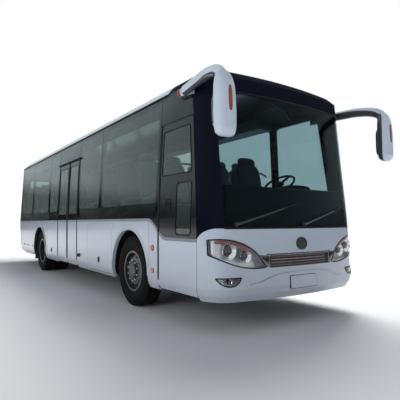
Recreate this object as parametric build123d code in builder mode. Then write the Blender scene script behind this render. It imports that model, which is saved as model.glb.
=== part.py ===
from build123d import *
from math import asin, atan2, cos, pi, radians, sin, sqrt
import os

os.makedirs("parts", exist_ok=True)

# Overall sizes of a 10.5 m touring coach, in millimetres.
# +X is forward, +Y is the driver's side, +Z is up, and the ground is z = 0.
body_width = 2500.0
wheelbase = 5450.0
front_overhang = 2250.0
rear_overhang = 2800.0
mirror_reach = 300.0

# Heights of the body's horizontal lines
skirt_z = 360.0
tuck_top_z = 510.0
bumper_top_z = 700.0
screen_low_z = 1170.0
belt_z = 1293.0
drip_z = 2886.0
screen_top_z = drip_z - 166.0
door_top_z = drip_z - 386.0
floor_z = 1190.0
floor_thick = 50.0
first_step_z = 400.0

# Section of the body: turned-under skirt, upright side, leaning windows, arched roof
tuck_radius = 250.0
side_lean = 90.0
cove_radius = 520.0
cove_start_deg = 31.6
cove_end_deg = 80.0
wall = 45.0
roof_wall = 50.0
glass_thick = 6.0
screen_thick = 8.0
pane_gap = 8.0

# Plan of the two body ends
front_bow = 5500.0
front_corner = 290.0
rear_bow = 6000.0
rear_corner = 250.0
front_seam = 450.0
rear_seam = 450.0
screen_rake = 140.0
seam_rake = 210.0
nose_rake = 50.0
bumper_tuck = 60.0
dome_length = 1000.0
dome_setback = 250.0
rear_cap_length = 550.0
rear_lean = 100.0
rear_skirt_z = 535.0
rear_rise_length = 900.0
screen_pillar = 170.0

# Wheels, tyres and axles
tyre_diameter = 1035.0
tyre_width = 295.0
rim_diameter = 566.0
rim_half = 120.0
flange_height = 17.0
flange_thick = 8.0
rim_thick = 10.0
tyre_face_inset = 40.0
twin_spacing = 330.0
fit = 0.3
spindle_radius = 40.0
hub_radius = 110.0
bearing_gap = 1.0
kingpin_inset = 202.5
kingpin_radius = 22.0
boss_radius = 48.0
steer_arm = 220.0
arch_radius = 612.0
arch_lift = 2.0

# Doors and flaps
leaf_thick = 40.0
door_gap = 8.0
post_radius = 20.0
post_inset = 85.0
arm_width = 36.0
arm_thick = 30.0
pin_radius = 9.0
pin_gap = 0.5
hinge_radius = 7.0
flap_low_z = 405.0
flap_axis_z = 1218.0
step_depth = 225.0
leaf_low_z = 392.0
step_count = 3
plate = 20.0

# Places of the doors: the front one ahead of the front axle, the mid one ahead of the rear axle
front_door_ahead = 885.0
mid_door_ahead = 1650.0
mid_door_length = 1400.0
mid_rear_leaf = 730.0

side_y = body_width / 2
body_length = front_overhang + wheelbase + rear_overhang
rear_x = -(body_length + mirror_reach) / 2
front_x = rear_x + body_length
axle_x = front_x - front_overhang
rear_axle_x = axle_x - wheelbase
front_door_x = axle_x + front_door_ahead
mid_rear_x = rear_axle_x + mid_door_ahead
mid_split_x = mid_rear_x + mid_rear_leaf
mid_front_x = mid_rear_x + mid_door_length
screen_half = side_y - screen_pillar
front_seam_x = front_x - front_seam
rear_seam_x = rear_x + rear_seam
wheel_z = tyre_diameter / 2
drip_y = side_y - side_lean
cove_y = drip_y - cove_radius * cos(radians(cove_start_deg))
cove_z = drip_z - cove_radius * sin(radians(cove_start_deg))
shoulder_y = cove_y + cove_radius * cos(radians(cove_end_deg))
shoulder_z = cove_z + cove_radius * sin(radians(cove_end_deg))
crown_radius = shoulder_y / cos(radians(cove_end_deg))
roof_z = shoulder_z + crown_radius * (1 - sin(radians(cove_end_deg)))
inner_y = side_y - wall
floor_low_z = floor_z - floor_thick
tyre_y = side_y - tyre_face_inset - tyre_width / 2
kingpin_y = tyre_y - kingpin_inset


def save(block, label):
    """Name a finished piece and write it to its own file."""
    block.part.label = label
    export_step(block.part, f"parts/{label}.step")


def half_width(z):
    """Half width of the outside of the body at height z."""
    if z < tuck_top_z:
        return side_y - tuck_radius + sqrt(tuck_radius**2 - (tuck_top_z - z) ** 2)
    if z <= belt_z:
        return side_y
    if z <= drip_z:
        return side_y - side_lean * (z - belt_z) / (drip_z - belt_z)
    if z <= shoulder_z:
        return cove_y + sqrt(cove_radius**2 - (z - cove_z) ** 2)
    return sqrt(crown_radius**2 - (z - roof_z + crown_radius) ** 2)


def side_section(side, low_z, high_z, near, far, x):
    """Section of a side panel from low_z to high_z, between two depths below the body's outline."""
    centre_y = side_y - tuck_radius
    tucked = low_z < tuck_top_z
    drop = asin((tuck_top_z - low_z) / tuck_radius) if tucked else 0.0

    def on_tuck(depth, angle):
        reach = tuck_radius - depth
        return (side * (centre_y + reach * cos(angle)), tuck_top_z - reach * sin(angle))

    def upright(depth):
        bends = [z for z in (tuck_top_z, belt_z) if low_z < z < high_z]
        heights = bends + [high_z] if tucked else [low_z] + bends + [high_z]
        return [(side * (half_width(z) - depth), z) for z in heights]

    outer, inner = upright(near), upright(far)
    with BuildSketch(Plane.YZ.offset(x)) as section:
        with BuildLine():
            Polyline(*outer)
            Line(outer[-1], inner[-1])
            Polyline(*inner)
            if tucked:
                ThreePointArc(on_tuck(near, drop), on_tuck(near, drop / 2), outer[0])
                ThreePointArc(on_tuck(far, drop), on_tuck(far, drop / 2), inner[0])
                Line(on_tuck(near, drop), on_tuck(far, drop))
            else:
                Line(outer[0], inner[0])
        make_face()
    return section.sketch


def end_section(face, z, tip, half, bow, corner, base):
    """Plan of a body end at height z: a bowed face, two round corners and a flat base.

    face is +1 at the front and -1 at the rear; tip and base are distances along that way.
    """
    centre = tip - bow
    corner_y = half - corner
    corner_x = centre + sqrt((bow - corner) ** 2 - corner_y**2)
    turn = atan2(corner_y, corner_x - centre)
    middle = (turn + pi / 2) / 2
    blend = (centre + bow * cos(turn), bow * sin(turn))
    bulge = (corner_x + corner * cos(middle), corner_y + corner * sin(middle))
    with BuildSketch(Plane.XY.offset(z)) as section:
        with BuildLine():
            Line((face * base, half), (face * corner_x, half))
            ThreePointArc((face * corner_x, half), (face * bulge[0], bulge[1]), (face * blend[0], blend[1]))
            ThreePointArc((face * blend[0], blend[1]), (face * tip, 0), (face * blend[0], -blend[1]))
            ThreePointArc((face * blend[0], -blend[1]), (face * bulge[0], -bulge[1]), (face * corner_x, -half))
            Line((face * corner_x, -half), (face * base, -half))
            Line((face * base, -half), (face * base, half))
        make_face()
    return section.sketch


def seam_x(z):
    """Where the front's panels meet the sides at height z: upright to the belt, then raked back."""
    return front_seam_x - seam_rake * max(0.0, z - belt_z) / (drip_z - belt_z)


def nose_tip(z):
    """Foremost point of the front at height z."""
    if z < tuck_top_z:
        return front_x - bumper_tuck * (1 - cos(pi / 2 * (tuck_top_z - z) / (tuck_top_z - skirt_z)))
    if z <= screen_low_z:
        return front_x - nose_rake * (z - tuck_top_z) / (screen_low_z - tuck_top_z)
    return front_x - nose_rake - screen_rake * (z - screen_low_z) / (screen_top_z - screen_low_z)


def tail_tip(z):
    """Rearmost point of the rear at height z, counted rearward."""
    return -rear_x - rear_lean * max(0.0, z - belt_z) / (drip_z - belt_z)


def front_shell(heights, thick):
    """Lofts of the front between heights, hollowed to a wall."""
    def sections(inset, back):
        return [
            end_section(1, z, nose_tip(z) - inset, half_width(z) - inset,
                        front_bow - inset, front_corner - inset, seam_x(z) - back)
            for z in heights
        ]

    loft(sections(0.0, 0.0), ruled=True)
    loft(sections(thick, wall), ruled=True, mode=Mode.SUBTRACT)


def rear_shell(heights, thick):
    """Lofts of the rear between heights, hollowed to a wall."""
    def sections(inset, back):
        return [
            end_section(-1, z, tail_tip(z) - inset, half_width(z) - inset,
                        rear_bow - inset, rear_corner - inset, -rear_seam_x - back)
            for z in heights
        ]

    loft(sections(0.0, 0.0), ruled=True)
    loft(sections(thick, wall), ruled=True, mode=Mode.SUBTRACT)


def side_window(x0, x1, z0, z1, corner, front_rake=0.0):
    """Outline seen from the side, whose front edge may lean back by front_rake."""
    with BuildSketch(Plane.XZ) as window:
        with BuildLine():
            Polyline((x0, z0), (x1, z0), (x1 - front_rake, z1), (x0, z1), close=True)
        make_face()
        if corner:
            fillet(window.vertices(), min(corner, (x1 - x0 - front_rake) / 3, (z1 - z0) / 3))
    return window.sketch


def side_cut(outline, side):
    """Cut an outline seen from the side through one wall."""
    extrude(outline, amount=-side * body_width, mode=Mode.SUBTRACT)


def seam_cut(side, gap):
    """Cut a side piece along the raked front seam, a gap behind it."""
    with BuildSketch(Plane.XZ) as wedge:
        with BuildLine():
            Polyline((seam_x(belt_z) - gap, belt_z), (front_x, belt_z), (front_x, drip_z),
                     (seam_x(drip_z) - gap, drip_z), close=True)
        make_face()
    side_cut(wedge.sketch, side)


# Tyres: a bulged carcass, one at each front corner and a pair at each rear corner.
rim_radius = rim_diameter / 2
flange_radius = rim_radius + flange_height
tyre_bore = rim_radius + fit
bead_half = rim_half - flange_thick - fit
tread_half = tyre_width / 2 - 35.0
shoulder_half = tyre_width / 2 - 12.0
shoulder_drop = 42.0


def tyre(x, y):
    """One tyre revolved about its axle line."""
    with BuildSketch(Plane.YZ.offset(x)) as carcass:
        with BuildLine():
            for sign in (-1, 1):
                bead = (y + sign * bead_half, wheel_z + tyre_bore)
                lip = (y + sign * bead_half, wheel_z + flange_radius + fit)
                waist = (y + sign * tyre_width / 2, wheel_z + (tyre_bore + wheel_z) / 2)
                shoulder = (y + sign * shoulder_half, 2 * wheel_z - shoulder_drop)
                Polyline(bead, lip, waist, shoulder, (y + sign * tread_half, 2 * wheel_z))
            Line((y - tread_half, 2 * wheel_z), (y + tread_half, 2 * wheel_z))
            Line((y - bead_half, wheel_z + tyre_bore), (y + bead_half, wheel_z + tyre_bore))
        make_face()
    revolve(carcass.sketch, axis=Axis((x, 0, wheel_z), (0, 1, 0)))


# Rims: a drop-free barrel with two flanges; the front disc bulges out and the twin discs are dished in.
barrel_in = rim_radius - rim_thick
nut_ring_y = 98.0
disc_thick = 14.0
disc_radius = 190.0
hub_cap_y = 140.0
hub_face_y = 20.0
hand_hole_radius = 26.0
hand_hole_ring = 232.0
hand_holes = 10
disc_root_y = (44.0, 60.0)
cap_wall = 30.0
cap_crown = 10.0
twin_disc_y = -twin_spacing / 2
twin_root_y = (-62.0, -34.0)
twin_hub_y = -240.0
barrel_outer = [
    (rim_half, barrel_in), (rim_half, flange_radius), (rim_half - flange_thick, flange_radius),
    (rim_half - flange_thick, rim_radius), (flange_thick - rim_half, rim_radius),
    (flange_thick - rim_half, flange_radius), (-rim_half, flange_radius), (-rim_half, barrel_in),
]


def turned(x, y, side, outline):
    """Revolve an outline given as (outboard distance from y, radius) about the axle line."""
    with BuildSketch(Plane.YZ.offset(x)) as shape:
        with BuildLine():
            Polyline(*[(side * (y + out), wheel_z + radius) for out, radius in outline], close=True)
        make_face()
    revolve(shape.sketch, axis=Axis((x, 0, wheel_z), (0, 1, 0)))


for name, side in (("right", -1), ("left", 1)):
    with BuildPart() as front_tyre:
        tyre(axle_x, side * tyre_y)
    save(front_tyre, f"front_tyre_{name}")

    with BuildPart() as front_rim:
        turned(axle_x, tyre_y, side, barrel_outer + [
            (disc_root_y[0], barrel_in), (nut_ring_y - disc_thick, disc_radius),
            (nut_ring_y - disc_thick, hub_radius), (hub_face_y, hub_radius),
            (hub_face_y, spindle_radius + bearing_gap), (hub_cap_y - cap_wall, spindle_radius + bearing_gap),
            (hub_cap_y - cap_wall, 0), (hub_cap_y + cap_crown, 0), (hub_cap_y, hub_radius - cap_wall),
            (hub_cap_y - cap_crown, hub_radius - fit), (nut_ring_y, hub_radius), (nut_ring_y, disc_radius),
            (disc_root_y[1], barrel_in),
        ])
        with BuildSketch(Plane.XZ.offset(-side * tyre_y)) as holes:
            with Locations((axle_x, wheel_z)):
                with PolarLocations(hand_hole_ring, hand_holes):
                    Circle(hand_hole_radius)
        extrude(holes.sketch, amount=nut_ring_y, both=True, mode=Mode.SUBTRACT)
    save(front_rim, f"front_rim_{name}")

    with BuildPart() as twin_tyres:
        for offset in (0.0, twin_spacing):
            tyre(rear_axle_x, side * (tyre_y - offset))
    save(twin_tyres, f"rear_tyres_{name}")

    with BuildPart() as twin_rim:
        disc = [
            (twin_root_y[0], barrel_in), (twin_disc_y, disc_radius + rim_thick),
            (twin_disc_y, hub_radius - rim_thick), (twin_disc_y + disc_thick, hub_radius - rim_thick),
            (twin_disc_y + disc_thick, disc_radius), (twin_root_y[1], barrel_in),
        ]
        outer = barrel_outer + disc
        turned(rear_axle_x, tyre_y, side, outer)
        turned(rear_axle_x, tyre_y, side, [(-twin_spacing - out, radius) for out, radius in outer])
        turned(rear_axle_x, tyre_y, side, [
            (twin_hub_y, spindle_radius + bearing_gap), (twin_hub_y, hub_radius), (hub_face_y, hub_radius),
            (hub_face_y + cap_wall, hub_radius - cap_wall), (hub_face_y + cap_wall, 0), (0, 0),
            (0, spindle_radius + bearing_gap),
        ])
        with BuildSketch(Plane.XZ.offset(-side * (tyre_y + twin_disc_y))) as holes:
            with Locations((rear_axle_x, wheel_z)):
                with PolarLocations(hand_hole_ring, hand_holes):
                    Circle(hand_hole_radius)
        extrude(holes.sketch, amount=nut_ring_y, both=True, mode=Mode.SUBTRACT)
    save(twin_rim, f"rear_rims_{name}")

# Front axle: a dropped beam with an eye round each kingpin.
beam_half = 45.0
eye_low_z = wheel_z - 47.5
eye_high_z = wheel_z + 42.5
beam_drop = 75.0
beam_bend_top = (150.0, 280.0)
beam_bend_low = (130.0, 260.0)
lug_gap = 5.0
lug_thick = 45.0
spring_y = 430.0

with BuildPart() as front_axle:
    with BuildSketch(Plane.YZ.offset(axle_x)) as beam:
        with BuildLine():
            Polyline(
                (-kingpin_y, eye_low_z), (-kingpin_y, eye_high_z),
                (beam_bend_top[0] - kingpin_y, eye_high_z),
                (beam_bend_top[1] - kingpin_y, eye_high_z - beam_drop),
                (kingpin_y - beam_bend_top[1], eye_high_z - beam_drop),
                (kingpin_y - beam_bend_top[0], eye_high_z), (kingpin_y, eye_high_z), (kingpin_y, eye_low_z),
                (kingpin_y - beam_bend_low[0], eye_low_z), (kingpin_y - beam_bend_low[1], eye_low_z - beam_drop),
                (beam_bend_low[1] - kingpin_y, eye_low_z - beam_drop), (beam_bend_low[0] - kingpin_y, eye_low_z),
                close=True,
            )
        make_face()
    extrude(amount=beam_half, both=True)
    with BuildSketch(Plane.XY.offset(eye_low_z)):
        with Locations((axle_x, -kingpin_y), (axle_x, kingpin_y)):
            Circle(boss_radius)
    extrude(amount=eye_high_z - eye_low_z)
    with BuildSketch(Plane.XY.offset(eye_low_z)):
        with Locations((axle_x, -kingpin_y), (axle_x, kingpin_y)):
            Circle(kingpin_radius + bearing_gap)
    extrude(amount=eye_high_z - eye_low_z, mode=Mode.SUBTRACT)
save(front_axle, "front_axle")

# Steering knuckles: a fork on the kingpin, a spindle for the wheel and an arm for the track rod.
plate_y = kingpin_y + boss_radius + lug_gap
plate_thick = 20.0
arm_z = eye_low_z - lug_gap - lug_thick
arm_half = 20.0
arm_depth = 25.0
spindle_end_gap = 5.0
rod_radius = 15.0
ball_radius = 10.0
rod_z = arm_z - lug_gap - rod_radius

for name, side in (("right", -1), ("left", 1)):
    with BuildPart() as knuckle:
        for low_z in (arm_z, eye_high_z + lug_gap):
            with BuildSketch(Plane.XY.offset(low_z)):
                with Locations((axle_x, side * kingpin_y)):
                    Circle(boss_radius)
                with Locations((axle_x, side * (kingpin_y + plate_y + plate_thick) / 2)):
                    Rectangle(2 * boss_radius, plate_y + plate_thick - kingpin_y)
            extrude(amount=lug_thick)
        with BuildSketch(Plane.XY.offset(arm_z)):
            with Locations((axle_x, side * (plate_y + plate_thick / 2))):
                Rectangle(2 * boss_radius, plate_thick)
        extrude(amount=eye_high_z - eye_low_z + 2 * (lug_thick + lug_gap))
        with BuildSketch(Plane.XY.offset(arm_z)):
            with Locations((axle_x, side * kingpin_y)):
                Circle(kingpin_radius)
        extrude(amount=eye_high_z - eye_low_z + 2 * (lug_thick + lug_gap))
        with BuildSketch(Plane.XZ.offset(-side * (plate_y + plate_thick))):
            with Locations((axle_x, wheel_z)):
                Circle(spindle_radius)
        extrude(amount=-side * (tyre_y + hub_cap_y - cap_wall - spindle_end_gap - plate_y - plate_thick))
        with BuildSketch(Plane.XY.offset(arm_z)):
            with Locations((axle_x - steer_arm / 2, side * kingpin_y)):
                Rectangle(steer_arm, 2 * arm_half)
            with Locations((axle_x - steer_arm, side * kingpin_y)):
                Circle(arm_half)
        extrude(amount=arm_depth)
        with BuildSketch(Plane.XY.offset(arm_z)):
            with Locations((axle_x - steer_arm, side * kingpin_y)):
                Circle(ball_radius)
        extrude(amount=rod_z - rod_radius - arm_z)
    save(knuckle, f"knuckle_{name}")

# Track rod between the two knuckle arms, with an eye on each ball pin.
with BuildPart() as track_rod:
    with BuildSketch(Plane.XZ.offset(-kingpin_y)):
        with Locations((axle_x - steer_arm, rod_z)):
            Circle(rod_radius)
    extrude(amount=2 * kingpin_y)
    with BuildSketch(Plane.XY.offset(rod_z - rod_radius)):
        with Locations((axle_x - steer_arm, -kingpin_y), (axle_x - steer_arm, kingpin_y)):
            Circle(arm_half)
    extrude(amount=2 * rod_radius)
    with BuildSketch(Plane.XY.offset(rod_z - rod_radius)):
        with Locations((axle_x - steer_arm, -kingpin_y), (axle_x - steer_arm, kingpin_y)):
            Circle(ball_radius + bearing_gap)
    extrude(amount=2 * rod_radius, mode=Mode.SUBTRACT)
save(track_rod, "track_rod")

# Rear axle: a banjo housing, a spindle to each twin wheel and two beams that carry the air springs.
tube_radius = 65.0
tube_half = tyre_y + twin_hub_y - 232.5
banjo_radius = 190.0
banjo_half = 120.0
spring_x = 430.0
spring_radius = 115.0
piston_radius = 75.0
rail_low_z = 900.0
rail_half = 40.0
spring_beam = 100.0
beam_low_z = wheel_z - 70.0
beam_high_z = wheel_z + 20.0

with BuildPart() as rear_axle:
    for radius, reach in ((tube_radius, tube_half), (spindle_radius, tyre_y - spindle_end_gap),
                          (banjo_radius, banjo_half)):
        with BuildSketch(Plane.XZ):
            with Locations((rear_axle_x, wheel_z)):
                Circle(radius)
        extrude(amount=reach, both=True)
    with BuildSketch(Plane.XY.offset(beam_low_z)):
        with Locations((rear_axle_x, -spring_y), (rear_axle_x, spring_y)):
            SlotOverall(2 * (spring_x + spring_radius), spring_beam)
    extrude(amount=beam_high_z - beam_low_z)
save(rear_axle, "rear_axle")

# Air springs: a piston and a wider bellows between each axle and the rails.
spring_seats = [
    # x, y, height of the seat on the axle
    (axle_x, spring_y, eye_high_z - beam_drop), (axle_x, -spring_y, eye_high_z - beam_drop),
    (rear_axle_x + spring_x, spring_y, beam_high_z), (rear_axle_x + spring_x, -spring_y, beam_high_z),
    (rear_axle_x - spring_x, spring_y, beam_high_z), (rear_axle_x - spring_x, -spring_y, beam_high_z),
]
bellows_low_z = 640.0
with BuildPart() as air_springs:
    for x, y, seat_z in spring_seats:
        for radius, low_z, high_z in ((piston_radius, seat_z, bellows_low_z),
                                      (spring_radius, bellows_low_z, rail_low_z)):
            with BuildSketch(Plane.XY.offset(low_z)) as ring:
                with Locations((x, y)):
                    Circle(radius)
            extrude(ring.sketch, amount=high_z - low_z)
save(air_springs, "air_springs")

# Underframe: two rails under the floor with cross members between them and outriggers to the walls.
rail_rear_x = rear_x + 420.0
rail_front_x = front_seam_x - 60.0
cross_half = 30.0
cross_low_z = 980.0
outrigger_edge = 50.0
front_cross = (780.0, 620.0)
rear_cross = (800.0, 760.0)
mid_cross = 200.0
outrigger_places = [axle_x + front_cross[0], axle_x - front_cross[1], rear_axle_x + rear_cross[0],
                    rear_axle_x - rear_cross[1]]
cross_places = outrigger_places + [axle_x, mid_front_x + mid_cross, rear_axle_x, rail_rear_x + cross_half]
rail_in_y = spring_y - rail_half
rail_out_y = spring_y + rail_half
with BuildPart() as chassis_rails:
    for y in (-spring_y, spring_y):
        with BuildSketch(Plane.YZ.offset(rail_rear_x)) as rail:
            with Locations((y, (rail_low_z + floor_low_z) / 2)):
                Rectangle(2 * rail_half, floor_low_z - rail_low_z)
        extrude(rail.sketch, amount=rail_front_x - rail_rear_x)
save(chassis_rails, "chassis_rails")

with BuildPart() as cross_members:
    for x in cross_places:
        with BuildSketch(Plane.XZ.offset(-rail_in_y)) as cross:
            with Locations((x, (cross_low_z + floor_low_z) / 2)):
                Rectangle(2 * cross_half, floor_low_z - cross_low_z)
        extrude(cross.sketch, amount=2 * rail_in_y)
    for x in outrigger_places:
        for side in (-1, 1):
            with BuildSketch(Plane.YZ.offset(x - cross_half)) as outrigger:
                with BuildLine():
                    Polyline((side * rail_out_y, cross_low_z), (side * rail_out_y, floor_low_z),
                             (side * inner_y, floor_low_z), (side * inner_y, floor_low_z - outrigger_edge),
                             close=True)
                make_face()
            extrude(outrigger.sketch, amount=2 * cross_half)
save(cross_members, "cross_members")

# Brackets under the rails: a cradle at each end of the engine, and a towing lug with an upright bore at each front end.
engine_rear_gap = 300.0
engine_length = 1150.0
engine_front_x = rear_x + engine_rear_gap + engine_length
engine_half = 340.0
engine_low_z = 460.0
engine_height = 510.0
gearbox_length = 620.0
gearbox_half = 190.0
gearbox_lift = 80.0
gearbox_taper = 8.0
cradle_inset = 150.0
cradle_z = 400.0
tow_x = front_x - 230.0
tow_z = 450.0
tow_radius = 22.5
tow_thick = 30.0
tow_rim = 32.0
tow_length = 260.0
with BuildPart() as frame_brackets:
    for x in (engine_front_x - cradle_inset, engine_front_x - engine_length + cradle_inset):
        with BuildSketch(Plane.YZ.offset(x)) as cradle:
            with BuildLine():
                Polyline((-rail_out_y, rail_low_z), (-rail_out_y, cradle_z), (rail_out_y, cradle_z),
                         (rail_out_y, rail_low_z), (rail_in_y, rail_low_z), (rail_in_y, engine_low_z),
                         (-rail_in_y, engine_low_z), (-rail_in_y, rail_low_z), close=True)
            make_face()
        extrude(cradle.sketch, amount=2 * cross_half)
    for y in (-spring_y, spring_y):
        with BuildSketch(Plane.XZ.offset(-y - tow_thick / 2)) as tow_bracket:
            with BuildLine():
                Polyline((rail_front_x - tow_length, rail_low_z), (rail_front_x, rail_low_z),
                         (tow_x - tow_radius - tow_rim, tow_z), (tow_x - tow_length, tow_z), close=True)
            make_face()
        extrude(tow_bracket.sketch, amount=tow_thick)
        with BuildSketch(Plane.XY.offset(tow_z - tow_thick / 2)) as tow_lug:
            with Locations((tow_x - tow_length / 2, y)):
                Rectangle(tow_length, 2 * (tow_radius + tow_rim))
            with Locations((tow_x, y)):
                Circle(tow_radius + tow_rim)
                Circle(tow_radius, mode=Mode.SUBTRACT)
        extrude(tow_lug.sketch, amount=tow_thick)
save(frame_brackets, "frame_brackets")

# Engine and gearbox, one plain block in the tail, with the propeller shaft to the axle.
shaft_radius = 55.0
with BuildPart() as engine:
    with BuildSketch(Plane.XY.offset(engine_low_z)):
        with Locations((engine_front_x - engine_length / 2, 0)):
            Rectangle(engine_length, 2 * engine_half)
    extrude(amount=engine_height)
    with BuildSketch(Plane.YZ.offset(engine_front_x)):
        with Locations((0, wheel_z + gearbox_lift)):
            Circle(gearbox_half)
    extrude(amount=gearbox_length, taper=gearbox_taper)
    with BuildSketch(Plane.YZ.offset(engine_front_x)):
        with Locations((0, wheel_z)):
            Circle(shaft_radius)
    extrude(amount=rear_axle_x - banjo_radius - fit - engine_front_x)
save(engine, "engine")

# Floor, with a well of folded steps between two cheeks behind each door.
wells = [
    # name of the door, rear x, front x
    ("front", front_door_x, front_seam_x),
    ("mid", mid_rear_x, mid_front_x),
]
leaf_drop = asin((tuck_top_z - leaf_low_z) / tuck_radius)
well_edge_y = side_y - tuck_radius + (tuck_radius - leaf_thick) * cos(leaf_drop) - door_gap
well_y = side_y - well_edge_y + step_depth * step_count
step_rise = (floor_z - first_step_z) / step_count
floor_rear_x = rear_x + 360.0
with BuildPart() as floor:
    with BuildSketch(Plane.XY.offset(floor_low_z)) as deck:
        with Locations(((floor_rear_x + front_seam_x) / 2, 0)):
            Rectangle(front_seam_x - floor_rear_x, 2 * inner_y)
        for _, x0, x1 in wells:
            with Locations(((x0 + x1) / 2, well_y / 2 - side_y)):
                Rectangle(x1 - x0, well_y, mode=Mode.SUBTRACT)
    extrude(deck.sketch, amount=floor_z - floor_low_z)
    for _, x0, x1 in wells:
        treads = []
        for number in range(step_count):
            y = -well_edge_y + number * step_depth
            z = first_step_z + number * step_rise
            treads += [(y, z), (y + step_depth, z)]
        top = (well_y - side_y, floor_low_z)
        under = [(y + plate, z - plate) for y, z in treads[1:]]
        with BuildSketch(Plane.YZ.offset(x0)) as flight:
            with BuildLine():
                Polyline(*treads, top, (top[0] + plate, top[1]), *reversed(under),
                         (treads[0][0], treads[0][1] - plate), close=True)
            make_face()
        extrude(flight.sketch, amount=x1 - x0)
        for x in (x0, x1 - plate):
            with BuildSketch(Plane.YZ.offset(x)) as cheek:
                with BuildLine():
                    Polyline(treads[0], (-well_edge_y, floor_z), (top[0], floor_z),
                             *reversed(treads[1:]), close=True)
                make_face()
            extrude(cheek.sketch, amount=plate)
save(floor, "floor")

# Luggage hold: a tray between two bulkheads, open to the flaps.
hold_front_x = axle_x - 680.0
hold_rear_x = rear_axle_x + 700.0
tray_z = 380.0
tray_half = side_y - 110.0
with BuildPart() as hold:
    with BuildSketch(Plane.XY.offset(tray_z)):
        with Locations(((hold_front_x + hold_rear_x) / 2, 0)):
            Rectangle(hold_front_x - hold_rear_x, 2 * tray_half)
        with Locations(((wells[1][1] + wells[1][2]) / 2, well_y / 2 - side_y + plate)):
            Rectangle(wells[1][2] - wells[1][1] + 2 * plate, well_y + 2 * plate, mode=Mode.SUBTRACT)
    extrude(amount=plate)
    for x in (hold_rear_x, hold_front_x - plate):
        with BuildSketch(Plane.YZ.offset(x)) as bulkhead:
            with BuildLine():
                Polyline((-tray_half, tray_z), (tray_half, tray_z), (tray_half, tuck_top_z),
                         (inner_y - plate, tuck_top_z + plate), (inner_y - plate, floor_low_z),
                         (plate - inner_y, floor_low_z), (plate - inner_y, tuck_top_z + plate),
                         (-tray_half, tuck_top_z), close=True)
            make_face()
            for y in (-spring_y, spring_y):
                with Locations((y, (rail_low_z + floor_low_z) / 2)):
                    Rectangle(2 * rail_half, floor_low_z - rail_low_z, mode=Mode.SUBTRACT)
        extrude(bulkhead.sketch, amount=plate)
save(hold, "luggage_hold")

# Side walls below the belt, with wheel arches, door gaps and flap openings.
flap_front_x = axle_x - 650.0
flap_rear_x = rear_axle_x + 760.0
flap_post = 30.0
valve_panel = 600.0
jamb_panel = 100.0
flap_split_x = (flap_front_x + flap_rear_x) / 2
flaps = [
    # side, name, rear x, front x
    (-1, "right_front", mid_front_x + valve_panel, flap_front_x),
    (-1, "right_rear", flap_rear_x, mid_rear_x - jamb_panel),
    (1, "left_front", flap_split_x + flap_post, flap_front_x),
    (1, "left_rear", flap_rear_x, flap_split_x - flap_post),
]
for name, side in (("right", -1), ("left", 1)):
    front_end = front_door_x if side < 0 else front_seam_x
    with BuildPart() as lower_wall:
        extrude(side_section(side, skirt_z, belt_z, 0, wall, rear_seam_x), amount=front_end - rear_seam_x)
        with BuildSketch(Plane.XZ) as arches:
            for x in (axle_x, rear_axle_x):
                with Locations((x, wheel_z + arch_lift)):
                    Circle(arch_radius)
                with Locations((x, (wheel_z + arch_lift) / 2)):
                    Rectangle(2 * arch_radius, wheel_z + arch_lift)
            with BuildLine():
                Polyline((rear_x, rear_skirt_z), (rear_x + rear_rise_length, skirt_z),
                         (rear_x, skirt_z), close=True)
            make_face()
        extrude(arches.sketch, amount=body_width, both=True, mode=Mode.SUBTRACT)
        if side < 0:
            side_cut(side_window(mid_rear_x, mid_front_x, 0, belt_z, 0), side)
        for flap_side, _, x0, x1 in flaps:
            if flap_side == side:
                side_cut(side_window(x0 - door_gap, x1 + door_gap, flap_low_z - door_gap,
                                     flap_axis_z + hinge_radius + fit, 0), side)
    save(lower_wall, f"{name}_lower_wall")

# Luggage flaps, each hung on a barrel along its top edge.
for side, name, x0, x1 in flaps:
    with BuildPart() as flap:
        extrude(side_section(side, flap_low_z, flap_axis_z, 0, leaf_thick, x0), amount=x1 - x0)
        with BuildSketch(Plane.YZ.offset(x0)):
            with Locations((side * (side_y - hinge_radius), flap_axis_z)):
                Circle(hinge_radius)
        extrude(amount=x1 - x0)
    save(flap, f"flap_{name}")

# Window frames above the belt, and the bonded panes that cover them.
sill_z = 1500.0
head_z = drip_z - 86.0
pillar = 70.0
tail_pane_x = rear_axle_x - 880.0
rear_pane_x = rear_axle_x + 850.0
front_pane_x = axle_x - 1210.0
driver_pane_x = axle_x + 600.0
middle_pane_x = (rear_pane_x + front_pane_x) / 2
panes = {
    # name of the side: rear x, front x, low z of each pane
    "right": [
        (rear_seam_x, tail_pane_x, belt_z), (tail_pane_x, rear_pane_x, belt_z),
        (rear_pane_x, mid_rear_x, belt_z), (mid_rear_x, mid_front_x, door_top_z),
        (mid_front_x, front_pane_x, belt_z), (front_pane_x, front_door_x, belt_z),
        (front_door_x, front_seam_x, door_top_z),
    ],
    "left": [
        (rear_seam_x, tail_pane_x, belt_z), (tail_pane_x, rear_pane_x, belt_z),
        (rear_pane_x, middle_pane_x, belt_z), (middle_pane_x, front_pane_x, belt_z),
        (front_pane_x, driver_pane_x, belt_z), (driver_pane_x, front_seam_x, belt_z),
    ],
}
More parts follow.
